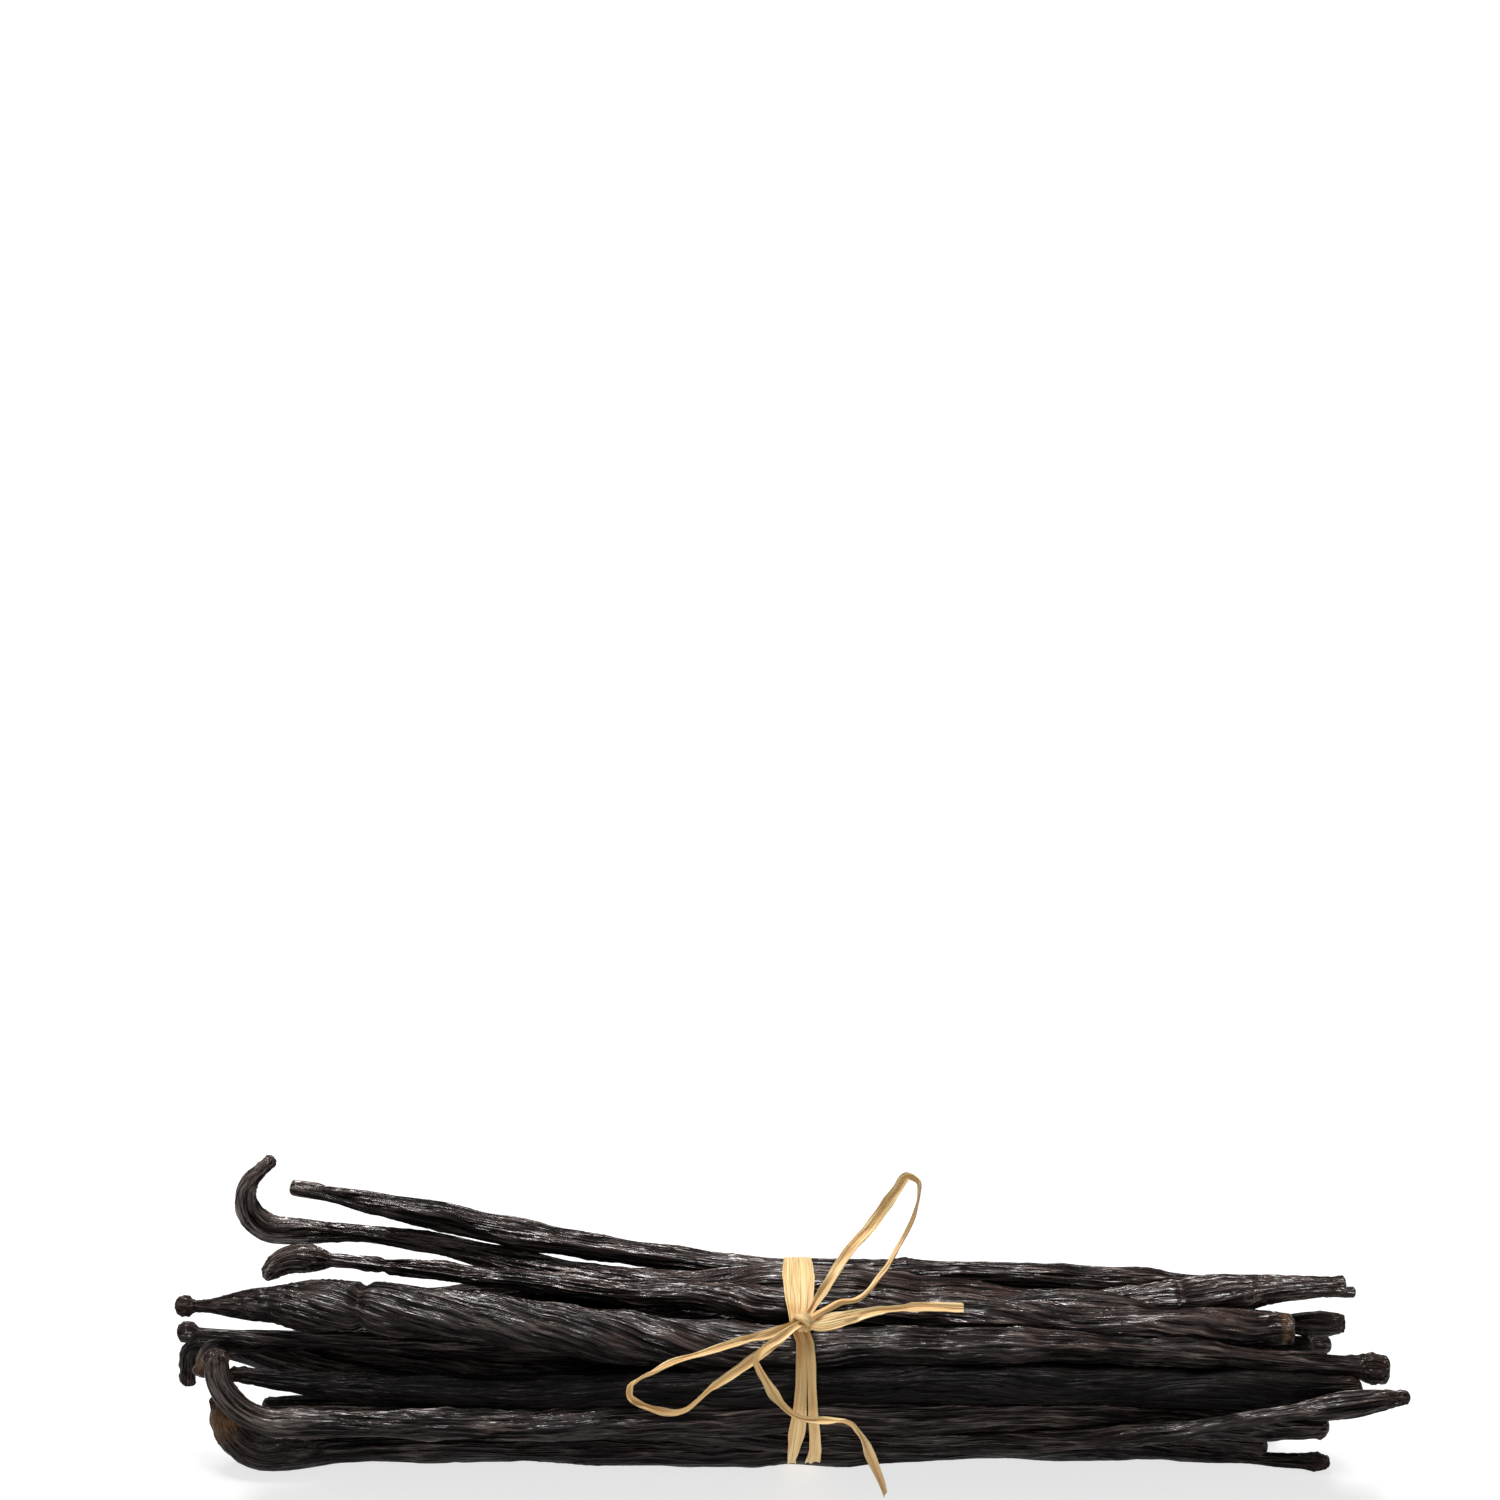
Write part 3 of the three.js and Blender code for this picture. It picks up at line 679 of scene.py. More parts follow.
@dataclass(frozen=True)
class Hook:
    """The curl of a left end: its turn, radius and straight run, in a plane rolled round X.

    Its skin is painted paler by a share of 0..1, painted light on the face of the curl, which fades out past
    the curl.
    """

    turn: float
    radius: float
    roll: float
    straight: float
    dry: float = 0.0
    fade: float = 9.0
    step: float = 8.0

    def painted_curl_light_share(self, along: Array) -> Array:
        """How much painted light lies along the pod: the whole curl, easing off past it."""
        reach = math.radians(self.turn) * self.radius + self.straight
        return self.dry * smooth((reach + self.fade - along) / self.fade)

    def before(self, run: Array) -> Array:
        """Puts the curl before the points of a line.

        The curl is an arc with sin along the way that the line comes from and 1 - cos inwards,
        and the straight run goes on from it.

        Args:
            run: the line's points, from its left end.

        Returns:
            The tip, the arc and the line.
        """
        ahead = unit(run[0] - run[2])
        rolled = turned(self.roll)
        inward = unit(rolled - rolled @ ahead * ahead)
        steps = math.ceil(self.turn / self.step)
        angles = np.radians(self.turn) * np.arange(1, steps + 1)[:, None] / steps
        curl = run[0] + self.radius * (np.sin(angles) * ahead + (1 - np.cos(angles)) * inward)
        end = math.radians(self.turn)
        tip = curl[-1] + self.straight * (math.cos(end) * ahead + math.sin(end) * inward)
        return np.concatenate([[tip], curl[::-1], run])


@dataclass(frozen=True)
class Pod:
    """One vanilla pod: its place round the tie, its girth and its two ends.

    Its ring is 1 right under the raffia and less further in, and its angle is in degrees round
    the tie. A firm pod gives way less to its neighbours. Its wrinkles turn by the twist, in
    radians a mm, up to a length, and its tone says how pale and oily its crests are. The tone is
    partly the pod's own colour and partly painted light: higher on the top pods that the overhead
    light falls on, and lower on the shaded pods beneath.
    """

    ring: float
    angle: float
    width: float
    thick: float
    firmness: float
    left: PodEnd
    right: PodEnd
    hook: Optional[Hook] = None
    skin: Skin = Skin.FINE
    twist: float = 0.0
    twisted_to: float = 1000.0
    tone: float = 0.5
    creases: tuple = ()
    detail: Detail = Detail.FULL

    def tie_centre(self) -> Array:
        """Where its middle crosses the tie, as (y, z): inside the raffia, or on its own ring."""
        halves = np.array([TIE_HALF_DEPTH, TIE_HALF_HEIGHT])
        reach = halves - self.thick / 2 if self.ring == 1 else halves * self.ring
        return np.array([0.0, TIE_MIDDLE_Z]) + reach * turned(self.angle)[1:]

    def free_line(self, xs: Array) -> Array:
        """Its line before it meets its neighbours.

        From the tie to an end it goes by a power of the way, plus a bow (sin squared) and a
        sway (which turns over half way).

        Args:
            xs: places along X.

        Returns:
            A (y, z) for each.
        """
        tie = self.tie_centre()
        line = np.empty((len(xs), 2))
        for end, chosen in ((self.left, xs < TIE_X), (self.right, xs >= TIE_X)):
            span = abs(end.x - TIE_X) - HELD_HALF_LENGTH
            way = np.clip((np.abs(xs[chosen] - TIE_X) - HELD_HALF_LENGTH) / span, 0.0, 1.0)
            reach = way ** end.ease
            bow = np.sin(math.pi * way) ** 2
            sway = np.sin(2 * math.pi * way) * np.sin(math.pi * way) * end.sway
            line[chosen, 0] = tie[0] + (end.y - tie[0]) * reach + end.bow_y * bow
            line[chosen, 1] = tie[1] + (end.z - tie[1]) * reach + end.bow_z * bow + sway
        return line

    def room(self, xs: Array) -> Array:
        """Its mean radius at each x, which is how much room it takes."""
        half = np.full(len(xs), self.width / 2)
        for end, away in ((self.left, xs - self.left.x), (self.right, self.right.x - xs)):
            half = np.minimum(half, mix(end.tip, self.width, smooth(away / end.taper)) / 2)
        return half * (1 + self.thick / self.width) / 2

    def half_width(self, along: Array, total: float) -> Array:
        """Half its width along its length: a taper to each tip, rounded off, and a knob.

        Args:
            along: lengths from its left tip.
            total: its whole length.

        Returns:
            Half the width at each.
        """
        plain = np.full(len(along), self.width / 2)
        swells = []
        for end, away in ((self.left, along), (self.right, total - along)):
            taper = mix(end.tip, self.width, smooth(away / end.taper)) / 2
            cap = end.cap.value[0] * end.tip
            rounding = np.sqrt(np.maximum(0.004, 1 - (1 - np.clip(away / cap, 0.0, 1.0)) ** 2))
            plain = np.minimum(plain, taper * rounding)
            for knob in end.knobs:
                off = (away - knob.at) / knob.spread
                swells.append(knob.size / 2 * np.sqrt(np.clip(1 - off * off, 0.0, 1.0)))
        return (sum(half ** 6 for half in (plain, *swells))) ** (1 / 6)


# How much less than its neighbour a pod gives way, which is 1 on a hidden one.
STIFF = 12.0
FIRM = 4.0

# The ring of the inner pods whose ends show, as a share of the tie's.
INNER_RING = 0.52

# The side that is seen, round the tie.
SEEN_ANGLE = 150.0

SHOWN_PODS = (
    Pod(1, 58, 3.9, 3.8, STIFF,
        PodEnd(-78.6, 17, 38.8, 2.2, 40, 1.6, 2.5, -1.3, 0.6, (Knob(4.6, 30, 26),), brown=1),
        PodEnd(88.4, 7, 23.4, 1.5, 45, bow_z=0.3, brown=1),
        skin=Skin.FINE, twist=0.004, tone=1.1),
    Pod(1, 82, 6.3, 5.4, STIFF,
        PodEnd(-80.8, 19, 28.4, 2.2, 100, 1.3, 3.1, -2.6, -5.5, (Knob(2.6, 1.3, 1.5), Knob(4.5, 15, 15))),
        PodEnd(85.7, 1, 29.1, 3.4, 26, bow_z=-6.6, knobs=(Knob(6.6, 20, 9),), cap=Cap.BLUNT),
        Hook(138, 5.2, 82, 4.2, dry=0.8),
        skin=Skin.FINE, twist=0.006, tone=1.6, creases=(Crease(161, 0.5, 0.7),)),
    Pod(1, 107, 6.2, 5.2, STIFF,
        PodEnd(-74.6, 11, 28.6, 1.9, 105, 1.2, 0.6, -0.6, 0.6, (Knob(5.2, 6, 6.1), Knob(3.1, 27, 8))),
        PodEnd(77.4, -2, 22.2, 5.3, 8, bow_z=-1.6, cap=Cap.BLUNT, scar=1.6),
        Hook(46, 9.5, -100, 1.2, dry=0.6),
        skin=Skin.WAVY, twist=-0.01, tone=1.3, creases=(Crease(20.6, 0.3, 0.6),)),
    Pod(1, 140, 8, 6, STIFF,
        PodEnd(-95.4, 4, 23.2, 1.8, 25, 1.5, -0.5, 3.8, -2, (Knob(3.2, 1.6, 1.7),)),
        PodEnd(91.7, -6, 16.9, 3.4, 120, bow_z=2.5, knobs=(Knob(4.5, 2.4, 2.7),), cap=Cap.BLUNT, brown=9),
        skin=Skin.TWISTED, twist=-0.055, twisted_to=88, tone=0.68, creases=(Crease(31, 0.9, 0.9),)),
    Pod(1, 163, 6, 5.4, STIFF,
        PodEnd(-86.1, -6, 17.8, 2.4, 32, bow_z=-4.3, sway=2),
        PodEnd(87.4, -8, 15.2, 4.2, 16, bow_z=-0.4),
        skin=Skin.PLUMP, twist=0.004, tone=0.02),
    Pod(1, 185, 5.6, 5.0, STIFF,
        PodEnd(-77.3, -11, 11.0, 4, 95, 1.7, 0.2, -0.6, -0.8, (Knob(2.6, 1.2, 1.3),)),
        PodEnd(82.8, -7, 7.6, 3.7, 15, bow_z=1.3),
        Hook(98, 9.8, 84, 1, dry=0.55), skin=Skin.FINE, twist=0.008, tone=0.75),
    Pod(1, 207, 4.6, 4.4, STIFF,
        PodEnd(-82, -1, 8.0, 3.6, 30, bow_y=3, bow_z=1.8),
        PodEnd(94, -12, 17.2, 2.2, 100, 2.2, -1.5, -0.8, knobs=(Knob(3.8, 9.5, 9.3),)),
        skin=Skin.FINE, twist=0.005, tone=0.7),
    Pod(1, 231, 5.4, 4.8, STIFF,
        PodEnd(-80.2, -4.9, 2.4, 4.4, 14, 1.5, 1.2, 0, -1.5, (Knob(3.8, 1.6, 1.8), Knob(6.8, 12, 13)),
               brown=16, scar=4),
        PodEnd(83.4, -5.6, -2.4, 2.1, 55, bow_z=4.7, sway=-0.8, knobs=(Knob(2.9, 2, 2.8), Knob(6.2, 76, 58))),
        Hook(95, 7, 75, 1.5), skin=Skin.PLUMP, twist=0.003, tone=0.4),
    Pod(INNER_RING, 140, 5, 4.6, FIRM,
        PodEnd(-94.6, 0, 20.9, 1.6, 70, bow_z=-0.8, knobs=(Knob(3.4, 1.6, 1.8),)),
        PodEnd(81.1, 2, 17, 3, 20, bow_z=3.7, knobs=(Knob(3.2, 1.5, 1.7),)),
        skin=Skin.PLUMP, tone=0.5, detail=Detail.PART),
    Pod(INNER_RING, 195, 4.8, 4.4, FIRM,
        PodEnd(-91.8, 4, 16.2, 2.4, 30, bow_z=3.1),
        PodEnd(73.6, -7.2, 3, 2.6, 30, bow_z=1.2),
        Hook(86, 2.2, -92, 5), skin=Skin.PLUMP, tone=0.4, detail=Detail.PART),
    Pod(INNER_RING, 86, 4.6, 4.2, FIRM,
        PodEnd(-88.6, -2, 17.4, 1.3, 50, bow_z=-1, knobs=(Knob(2.2, 1.1, 1.2),)),
        PodEnd(85.8, 2, 21, 2.4, 42, bow_z=1, knobs=(Knob(4, 4, 5.5),)),
        skin=Skin.PLUMP, tone=0.5, detail=Detail.PART),
    Pod(INNER_RING, 242, 4.8, 4.4, FIRM,
        PodEnd(-88.2, 0.5, 19.4, 2.6, 22, bow_z=-1, scar=2.5),
        PodEnd(79, 0, 11, 3.2, 25),
        Hook(82, 1.8, -96, 4), skin=Skin.PLUMP, tone=0.6, detail=Detail.PART),
)


@dataclass(frozen=True)
class HiddenEnd:
    """One end of the pods of a hidden row, a little different on each pod.

    The x and the tip are (value, what is drawn on top), y is (middle, reach at the pod's
    angle, what is drawn on top) and z is (middle, reach).
    """

    x: tuple
    y: tuple
    z: tuple
    tip: tuple
    taper: float

    def place(self, angle: float, draw: Draw) -> PodEnd:
        """Gives a pod's end.

        Args:
            angle: the pod's angle round the tie.
            draw: where the differences are drawn from.

        Returns:
            The end, no lower than an end that lies on the ground.
        """
        across, up = turned(angle)[1:]
        x = draw.on_top(*self.x)
        y = draw.on_top(self.y[0] + self.y[1] * across, self.y[2])
        tip = draw.on_top(*self.tip)
        return PodEnd(x, y, max(LYING_END_Z, self.z[0] + self.z[1] * up), tip, self.taper)


@dataclass(frozen=True)
class HiddenRow:
    """A row of plain, nearly straight pods that hardly show: its ring and its pods' angles."""

    ring: float
    angles: tuple
    width: tuple
    flatter: float
    left: HiddenEnd
    right: HiddenEnd
    skin: Skin = Skin.PLUMP
    twist: float = 0.0

    def pods(self, draw: Draw) -> list:
        """The row's pods, in the order of their angles."""
        return [self.pod(angle, draw) for angle in self.angles]

    def pod(self, angle: float, draw: Draw) -> Pod:
        """The pod at an angle round the tie."""
        width = draw.on_top(*self.width)
        left, right = self.left.place(angle, draw), self.right.place(angle, draw)
        return Pod(self.ring, angle, width, width - self.flatter, 1, left, right,
                   skin=self.skin, twist=self.twist, detail=Detail.PLAIN)


# The bottom and back, the inside, and the two in the very middle.
HIDDEN_ROWS = (
    HiddenRow(1, (251, 278, 302, 326, 350, 14, 36), (5.2, 1.4), 0.6,
              HiddenEnd((-66, -22), (3, 15, 3), (9, 9), (2.8, 1), 35),
              HiddenEnd((62, 14), (3, 14, 2), (9.3, 9), (3.4, 0), 25),
              skin=Skin.FINE, twist=0.008),
    HiddenRow(0.5, (294, 346, 38), (4.6, 0.8), 0.4,
              HiddenEnd((-70, -16), (3, 8, 0), (9, 6), (2.6, 0), 35),
              HiddenEnd((66, 18), (2, 8, 0), (12, 7), (3.2, 0), 25)),
    HiddenRow(0.14, (20,), (4.8, 0), 0.4,
              HiddenEnd((-72, 0), (2, 0, 0), (12, 0), (2.6, 0), 30),
              HiddenEnd((84.6, 0), (4.5, 0, 0), (15.8, 0), (3.2, 0), 25)),
    HiddenRow(0.14, (200,), (4.8, 0), 0.4,
              HiddenEnd((-72, 0), (2, 0, 0), (12, 0), (2.6, 0), 30),
              HiddenEnd((72, 0), (1, 0, 0), (14, 0), (3, 0), 25)),
)


def all_pods() -> list:
    """The shown pods, then those of each hidden row."""
    draw = Draw(7)
    return [*SHOWN_PODS, *(pod for row in HIDDEN_ROWS for pod in row.pods(draw))]


def settle(pods: Sequence[Pod]) -> Array:
    """Lets the pods push each other apart at every station and lie on the ground.

    In each round two pods that overlap are moved apart by a part of the overlap, a firm one
    less, then every line is smoothed and kept above the ground. The tie holds them.

    Args:
        pods: the pods.

    Returns:
        The (y, z) of each pod at each station.
    """
    lines = np.array([pod.free_line(STATIONS) for pod in pods])
    room = np.array([pod.room(STATIONS) for pod in pods])
    present = np.array([(STATIONS >= pod.left.x - STATION_STEP) & (STATIONS <= pod.right.x + STATION_STEP)
                        for pod in pods])
    firmness = np.array([pod.firmness for pod in pods])
    share = firmness[None, :] / (firmness[:, None] + firmness[None, :])
    free = smooth((np.abs(STATIONS - TIE_X) - TIE_GRIP_START) / TIE_GRIP_LENGTH)
    meet = present[:, None] & present[None, :] & ~np.eye(len(pods), dtype=bool)[:, :, None]
    for _ in range(SETTLE_ROUNDS):
        apart = lines[:, None] - lines[None, :]
        distance = np.sqrt((apart ** 2).sum(axis=-1)) + 1e-9
        overlap = np.clip((room[:, None] + room[None, :]) * SETTLE_FIT - distance, 0.0, None) * meet
        move = overlap * share[:, :, None] * SETTLE_PUSH * free / distance
        pushed = lines + (apart * move[..., None]).sum(axis=1)
        bend = np.zeros_like(pushed)
        bend[:, 1:-1] = (pushed[:, :-2] + pushed[:, 2:]) / 4 - pushed[:, 1:-1] / 2
        lines = pushed + bend * (SETTLE_SMOOTH * free)[None, :, None]
        lines[..., 1] = np.maximum(lines[..., 1], room * FLOOR_FLATTENING)
    return lines


@dataclass
class PodBody:
    """The skin of one pod, as a grid of rings along its line.

    The size of a kind of wrinkle is its spacing in ridge spacings, how long it runs and how
    sharp it is. Pleats show where the skin bends to less than their radius, and the wrinkles
    fade where the pod's half width is under the smallest that holds them.
    """

    number: int
    pod: Pod
    line: Array
    cap_rings: int = 9
    crowding: float = 0.4
    fold_size: tuple = (2.3, 46.0, 1.6)
    ridge_size: tuple = (1.0, 26.0, 2.4)
    fine_size: tuple = (0.55, 12.0, 2.4)
    pleat_every: float = 1.7
    pleat_depth: float = 0.07
    pleated_radius: float = 4.0
    brown_share: float = 0.6
    smooth_under: float = 1.2
    grain_apart: float = 60.0

    def route(self) -> Route:
        """Its middle line, with the arc of its hook before it."""
        pod = self.pod
        count = round((pod.right.x - pod.left.x) / STATION_STEP)
        xs = np.linspace(pod.left.x, pod.right.x, count + 1)
        run = np.stack([xs, *(np.interp(xs, STATIONS, values) for values in self.line.T)], axis=1)
        return Route(pod.hook.before(run) if pod.hook else run)

    def rings(self, total: float, count: int) -> Array:
        """Where its rings stand along it, drawn together at the rounding of each tip."""
        lean = np.radians(np.linspace(9.0, 84.0, self.cap_rings))
        start = self.pod.left.cap.value[0] * self.pod.left.tip
        stop = self.pod.right.cap.value[0] * self.pod.right.tip
        body = np.linspace(start, total - stop, count)
        return np.concatenate([start * (1 - np.cos(lean)), body, (total - stop * (1 - np.cos(lean)))[::-1]])

    def columns_at(self, roll: float, count: int) -> Array:
        """Angles of its columns, closer together on the side that is seen."""
        pod = self.pod
        facing = pod.angle if pod.detail is Detail.PLAIN else (pod.angle + SEEN_ANGLE) / 2
        turn = np.linspace(0, 2 * math.pi, count, endpoint=False)
        return math.radians(facing - roll) + turn - self.crowding * np.sin(turn)

    def swirl(self, angle: Array, along: Array) -> Array:
        """The angles that its wrinkles run at: turned along it by its twist, and wandering."""
        draws = np.random.default_rng(500 + self.number)
        waviness = self.pod.skin.value[1]
        wander = 0.5 * Ripple(draws, 1, 32.0)(angle, along) + 0.10 * Ripple(draws, 2, 9.0)(angle, along)
        turned_by = self.pod.twist * (np.minimum(along, self.pod.twisted_to) - along.mean())
        return angle + turned_by + waviness * wander

    def relief(self, angle: Array, along: Array, ends: Array, bends: Array) -> tuple:
        """How far the skin stands off its smooth oval, in mm.

        Folds, ridges and fine ridges run along it, each kind half as far apart as the one
        before and shorter, and all fade in and out. Broad lumps, the crumples of the tips and
        the pleats of the inside of a bend are added, and its creases are cut in across it.

        Args:
            angle: the angles that its wrinkles run at, for every row and column.
            along: lengths along it, one a row.
            ends: how near each row is to a tip, 0..1.
            bends: how sharply the pod bends in each row, 0..1, with its inner side in it.

        Returns:
            The relief and its ridges alone, scaled to 0 in a valley and 1 on a crest.
        """
        pod = self.pod
        draws = np.random.default_rng(1000 + self.number)
        depth, _, spacing, folded = pod.skin.value
        girth = math.pi * (pod.width + pod.thick) / 2

        def ripple(turns: int, wavelength: float) -> Array:
            """A ripple over the whole skin."""
            return Ripple(draws, turns, wavelength)(angle, along)

        def wrinkles(apart: float, length: float, sharpness: float) -> Array:
            """One kind of wrinkle over the whole skin."""
            return Wrinkles(draws, girth, spacing * apart, length, sharpness)(angle, along)

        strong = np.clip(0.72 + 0.42 * ripple(3, 15.0), 0.15, 1.3)
        folds = wrinkles(*self.fold_size)
        ridges = wrinkles(*self.ridge_size)
        fine = wrinkles(*self.fine_size)
        lumps = 0.024 * pod.width * (ripple(2, 20.0) + 0.4 * ripple(3, 8.0))
        crumple = ends * (0.15 * ripple(6, 2.2) + 0.10 * ripple(9, 1.1))
        turns = (along + 0.5 * ripple(2, 6.0)) / self.pleat_every
        pleats = bends * self.pleat_depth * np.sin(2 * math.pi * turns)
        creases = sum((crease.cut(angle, along) for crease in pod.creases), 0.0)
        raised = folds * folded + ridges * strong + 0.4 * fine * strong
        height = depth * (raised - 1.0) * (1 - 0.4 * ends) + lumps + crumple + pleats - creases
        return height, np.clip(0.30 * folds + 0.62 * ridges * strong + 0.22 * fine, 0.0, 1.0)

    def build(self, material: bpy.types.Material) -> bpy.types.Object:
        """Makes the skin.

        A vertex lies off the middle line by cos times its half width one way and by sin times
        its half thickness the other, each grown by the relief, and no lower than the ground.

        Args:
            material: the skin's finish.

        Returns:
            The piece.
        """
        pod, route = self.pod, self.route()
        count, columns = pod.detail.value
        along = self.rings(route.length, count)
        rows = len(along)
        middles, heading = route.at(along), route.heading(along)
        roll = pod.hook.roll + 90 if pod.hook else pod.angle
        reference = turned(roll)
        across = unit(reference - (heading @ reference)[:, None] * heading)
        beside = np.cross(heading, across)
        angle = self.columns_at(roll, columns)[None, :]
        half = pod.half_width(along, route.length)
        tilt = math.radians(roll - pod.angle)
        flat = pod.thick / pod.width
        out = half * math.hypot(flat * math.cos(tilt), math.sin(tilt))
        aside = half * math.hypot(math.cos(tilt), flat * math.sin(tilt))
        to_left, to_right = along, route.length - along
        ends = np.maximum(*(np.exp(-(away / (end.brown * self.brown_share)) ** 2)
                            for end, away in ((pod.left, to_left), (pod.right, to_right))))
        curve = np.gradient(heading, along, axis=0)
        inner = (curve * across).sum(axis=1)[:, None] * np.cos(angle) \
            + (curve * beside).sum(axis=1)[:, None] * np.sin(angle)
        bends = np.clip(inner * self.pleated_radius, 0.0, 1.0)
        swirl = self.swirl(angle, along[:, None])
        height, crest = self.relief(swirl, along[:, None], ends[:, None], bends)
        height = height * np.clip(half / self.smooth_under, 0.0, 1.0)[:, None]
        ring = across[:, None] * (np.cos(angle) * (out[:, None] + height))[..., None] \
            + beside[:, None] * (np.sin(angle) * (aside[:, None] + height))[..., None]
        grid = middles[:, None] + ring
        dimples = np.array([pod.left.cap.value[1] * pod.left.tip, -pod.right.cap.value[1] * pod.right.tip])
        poles = middles[[0, -1]] + heading[[0, -1]] * dimples[:, None]
        vertices = np.concatenate([grid.reshape(-1, 3), poles])
        vertices[:, 2] = np.maximum(vertices[:, 2], 0.0)
        radius = (out + aside)[:, None] / 2
        length_at = along[:, None] + self.grain_apart * self.number + 0 * angle
        grain = np.stack([np.cos(swirl) * radius, np.sin(swirl) * radius, length_at], axis=-1).reshape(-1, 3)
        # Painted shade: the tone mark falls to 0.35 of the pod's tone on its underside, by how far each
        # vertex faces up.
        facing_up = smooth((ring[..., 2] / radius.clip(0.3) + 0.5) / 1.1)
        numbers = {
            "relief": crest,
            "tip": ends[:, None],
            "tone": pod.tone * mix(0.35, 1.0, facing_up),
            # painted light on the curl
            "dry": pod.hook.painted_curl_light_share(along)[:, None] if pod.hook else 0.0,
            "scar": self.scar(to_left, to_right)[:, None],
        }
        marks = {name: np.append(per_vertex(values, (rows, columns)), [0.0, 0.0])
                 for name, values in numbers.items()}
        marks["grain"] = with_poles(grain)
        return piece(f"vanilla_pod_{self.number:02d}", vertices, tube_faces(rows, columns), marks, material)

    def scar(self, to_left: Array, to_right: Array) -> Array:
        """How tan each row is, where a stalk has broken off or split."""
        shade = np.zeros(len(to_left))
        for place, away, width in ((self.pod.left.scar, to_left, 0.5), (self.pod.right.scar, to_right, 0.4)):
            if place:
                shade = shade + np.exp(-((away - place) / (place * width)) ** 2)
        return shade


@dataclass(frozen=True)
class Filling:
    """The inside of the bundle, an egg shape that the pods hide, near-black as painted shade between them."""

    middle: tuple = (0.0, 1.6, 14.2)
    halves: tuple = (48.0, 10.2, 9.0)
    rows: int = 40
    columns: int = 36

    def build(self, material: bpy.types.Material) -> bpy.types.Object:
        """Makes the egg: a ring at each latitude, cos wide, with poles on X."""
        lean = np.linspace(-math.pi / 2, math.pi / 2, self.rows + 2)[1:-1, None]
        angle = np.linspace(0, 2 * math.pi, self.columns, endpoint=False)[None, :]
        ring = np.stack([np.broadcast_to(np.sin(lean), (self.rows, self.columns)),
                         np.cos(lean) * np.cos(angle), np.cos(lean) * np.sin(angle)], axis=-1)
        poles = np.array([[-1.0, 0.0, 0.0], [1.0, 0.0, 0.0]])
        vertices = np.concatenate([ring.reshape(-1, 3), poles]) * self.halves + self.middle
        return piece("pod_gap_shade", vertices, tube_faces(self.rows, self.columns), {}, material)


class PodHeap:
    """All the pods and the filling."""

    def __init__(self) -> None:
        """Lays the pods."""
        self.pods = all_pods()
        self.lines = settle(self.pods)

    def build(self) -> None:
        """Makes every pod and the filling, in place of the fused body."""
        skin = PodSkinFinish().make()
        for number, (pod, line) in enumerate(zip(self.pods, self.lines), start=1):
            fit_to_frame(PodBody(number, pod, line).build(skin), "vanilla_pod", "vanilla_pods")
        fit_to_frame(Filling().build(GapShadeFinish().make()), "vanilla_pod", "vanilla_pods")


# ---------------------------------------------------------------- raffia


# The knot: where it lies round the tie and along the bundle, and how far off the tie's oval.
KNOT_ANGLE = 128.0
KNOT_X = 1.9
KNOT_LIFT = 2.2
KNOT_OUT = turned(KNOT_ANGLE)
SIDEWAYS = np.array([1.0, 0.0, 0.0])
KNOT_UP = np.cross(KNOT_OUT, SIDEWAYS)

# The middle lines of the loose raffia, each from the knot on. A loop ends at the knot again.
LOOP_LEFT = (
    (-0.8, -13.6, 29.1), (-3.5, -14.4, 28.5), (-6.6, -15.2, 28.1), (-10.7, -15.6, 26.8), (-14.7, -15.8, 25.5),
    (-17.9, -16, 24.5), (-20.7, -16.4, 23.2), (-22.7, -16.8, 22.3), (-24, -17.2, 21), (-24.1, -17.5, 19.6),
    (-23, -17.8, 18.7), (-21.2, -18.2, 18), (-19.1, -18.5, 17.5), (-17.3, -18.6, 17.4), (-15.6, -18.6, 18.1),
    (-14.3, -18.5, 19.3), (-12.6, -18.3, 20.9), (-10.4, -18, 22.5), (-7.7, -17.2, 24.2), (-5.2, -16.2, 25.7),
    (-3.1, -15, 26.7), (-1.3, -14.3, 27.75),
)
LOOP_RIGHT = (
    (3.8, -9, 31), (5.5, -6.6, 32.6), (7.7, -3, 34.5), (9.6, -0.4, 35.9), (11.6, 2, 36.9), (14, 4.6, 39.1),
    (16.3, 6.4, 41.8), (18.2, 7.4, 43.8), (19.7, 7.2, 43.2), (19.9, 6.2, 41.4), (19.2, 4.6, 38.9),
    (17.8, 2.6, 36.4), (16.3, 0.2, 34.7), (14.9, -2.4, 33.5), (13.4, -4.6, 32.7), (12.2, -6.4, 31.9),
    (11.1, -7.6, 31.4), (9.7, -8.8, 31.2), (7.5, -9.8, 31.4), (5.6, -11, 31), (4.4, -11.8, 30.8),
)
TAIL_RIGHT = (
    (4.6, -12.8, 29.5), (7.3, -12.2, 29.8), (10.4, -11.4, 30.1), (13.1, -10.6, 30.3), (16.6, -9.8, 30.3),
    (21, -9.4, 30.3), (26.1, -9.4, 30.1),
)
TAIL_FRONT = (
    (-0.5, -15, 29.3), (-2, -16.3, 28.7), (-3.5, -17.2, 28), (-4.6, -17.9, 27.1), (-5.2, -18.2, 26.1),
    (-4.8, -18.4, 24.9), (-3.8, -18.8, 23.1), (-2.8, -19.2, 21.4), (-1.3, -19.5, 19.4), (0.1, -19.8, 18.1),
    (1.7, -19.9, 17.3), (3.8, -19.9, 17), (6.4, -19.8, 16.8), (8, -19.7, 16.7), (9.1, -19.6, 16.1),
    (9.8, -19.5, 15), (10.8, -19.3, 13.1), (11.7, -18.8, 10.6), (12.7, -18, 7.6), (13.6, -17.2, 4.7),
    (14.3, -16.4, 1.9),
)


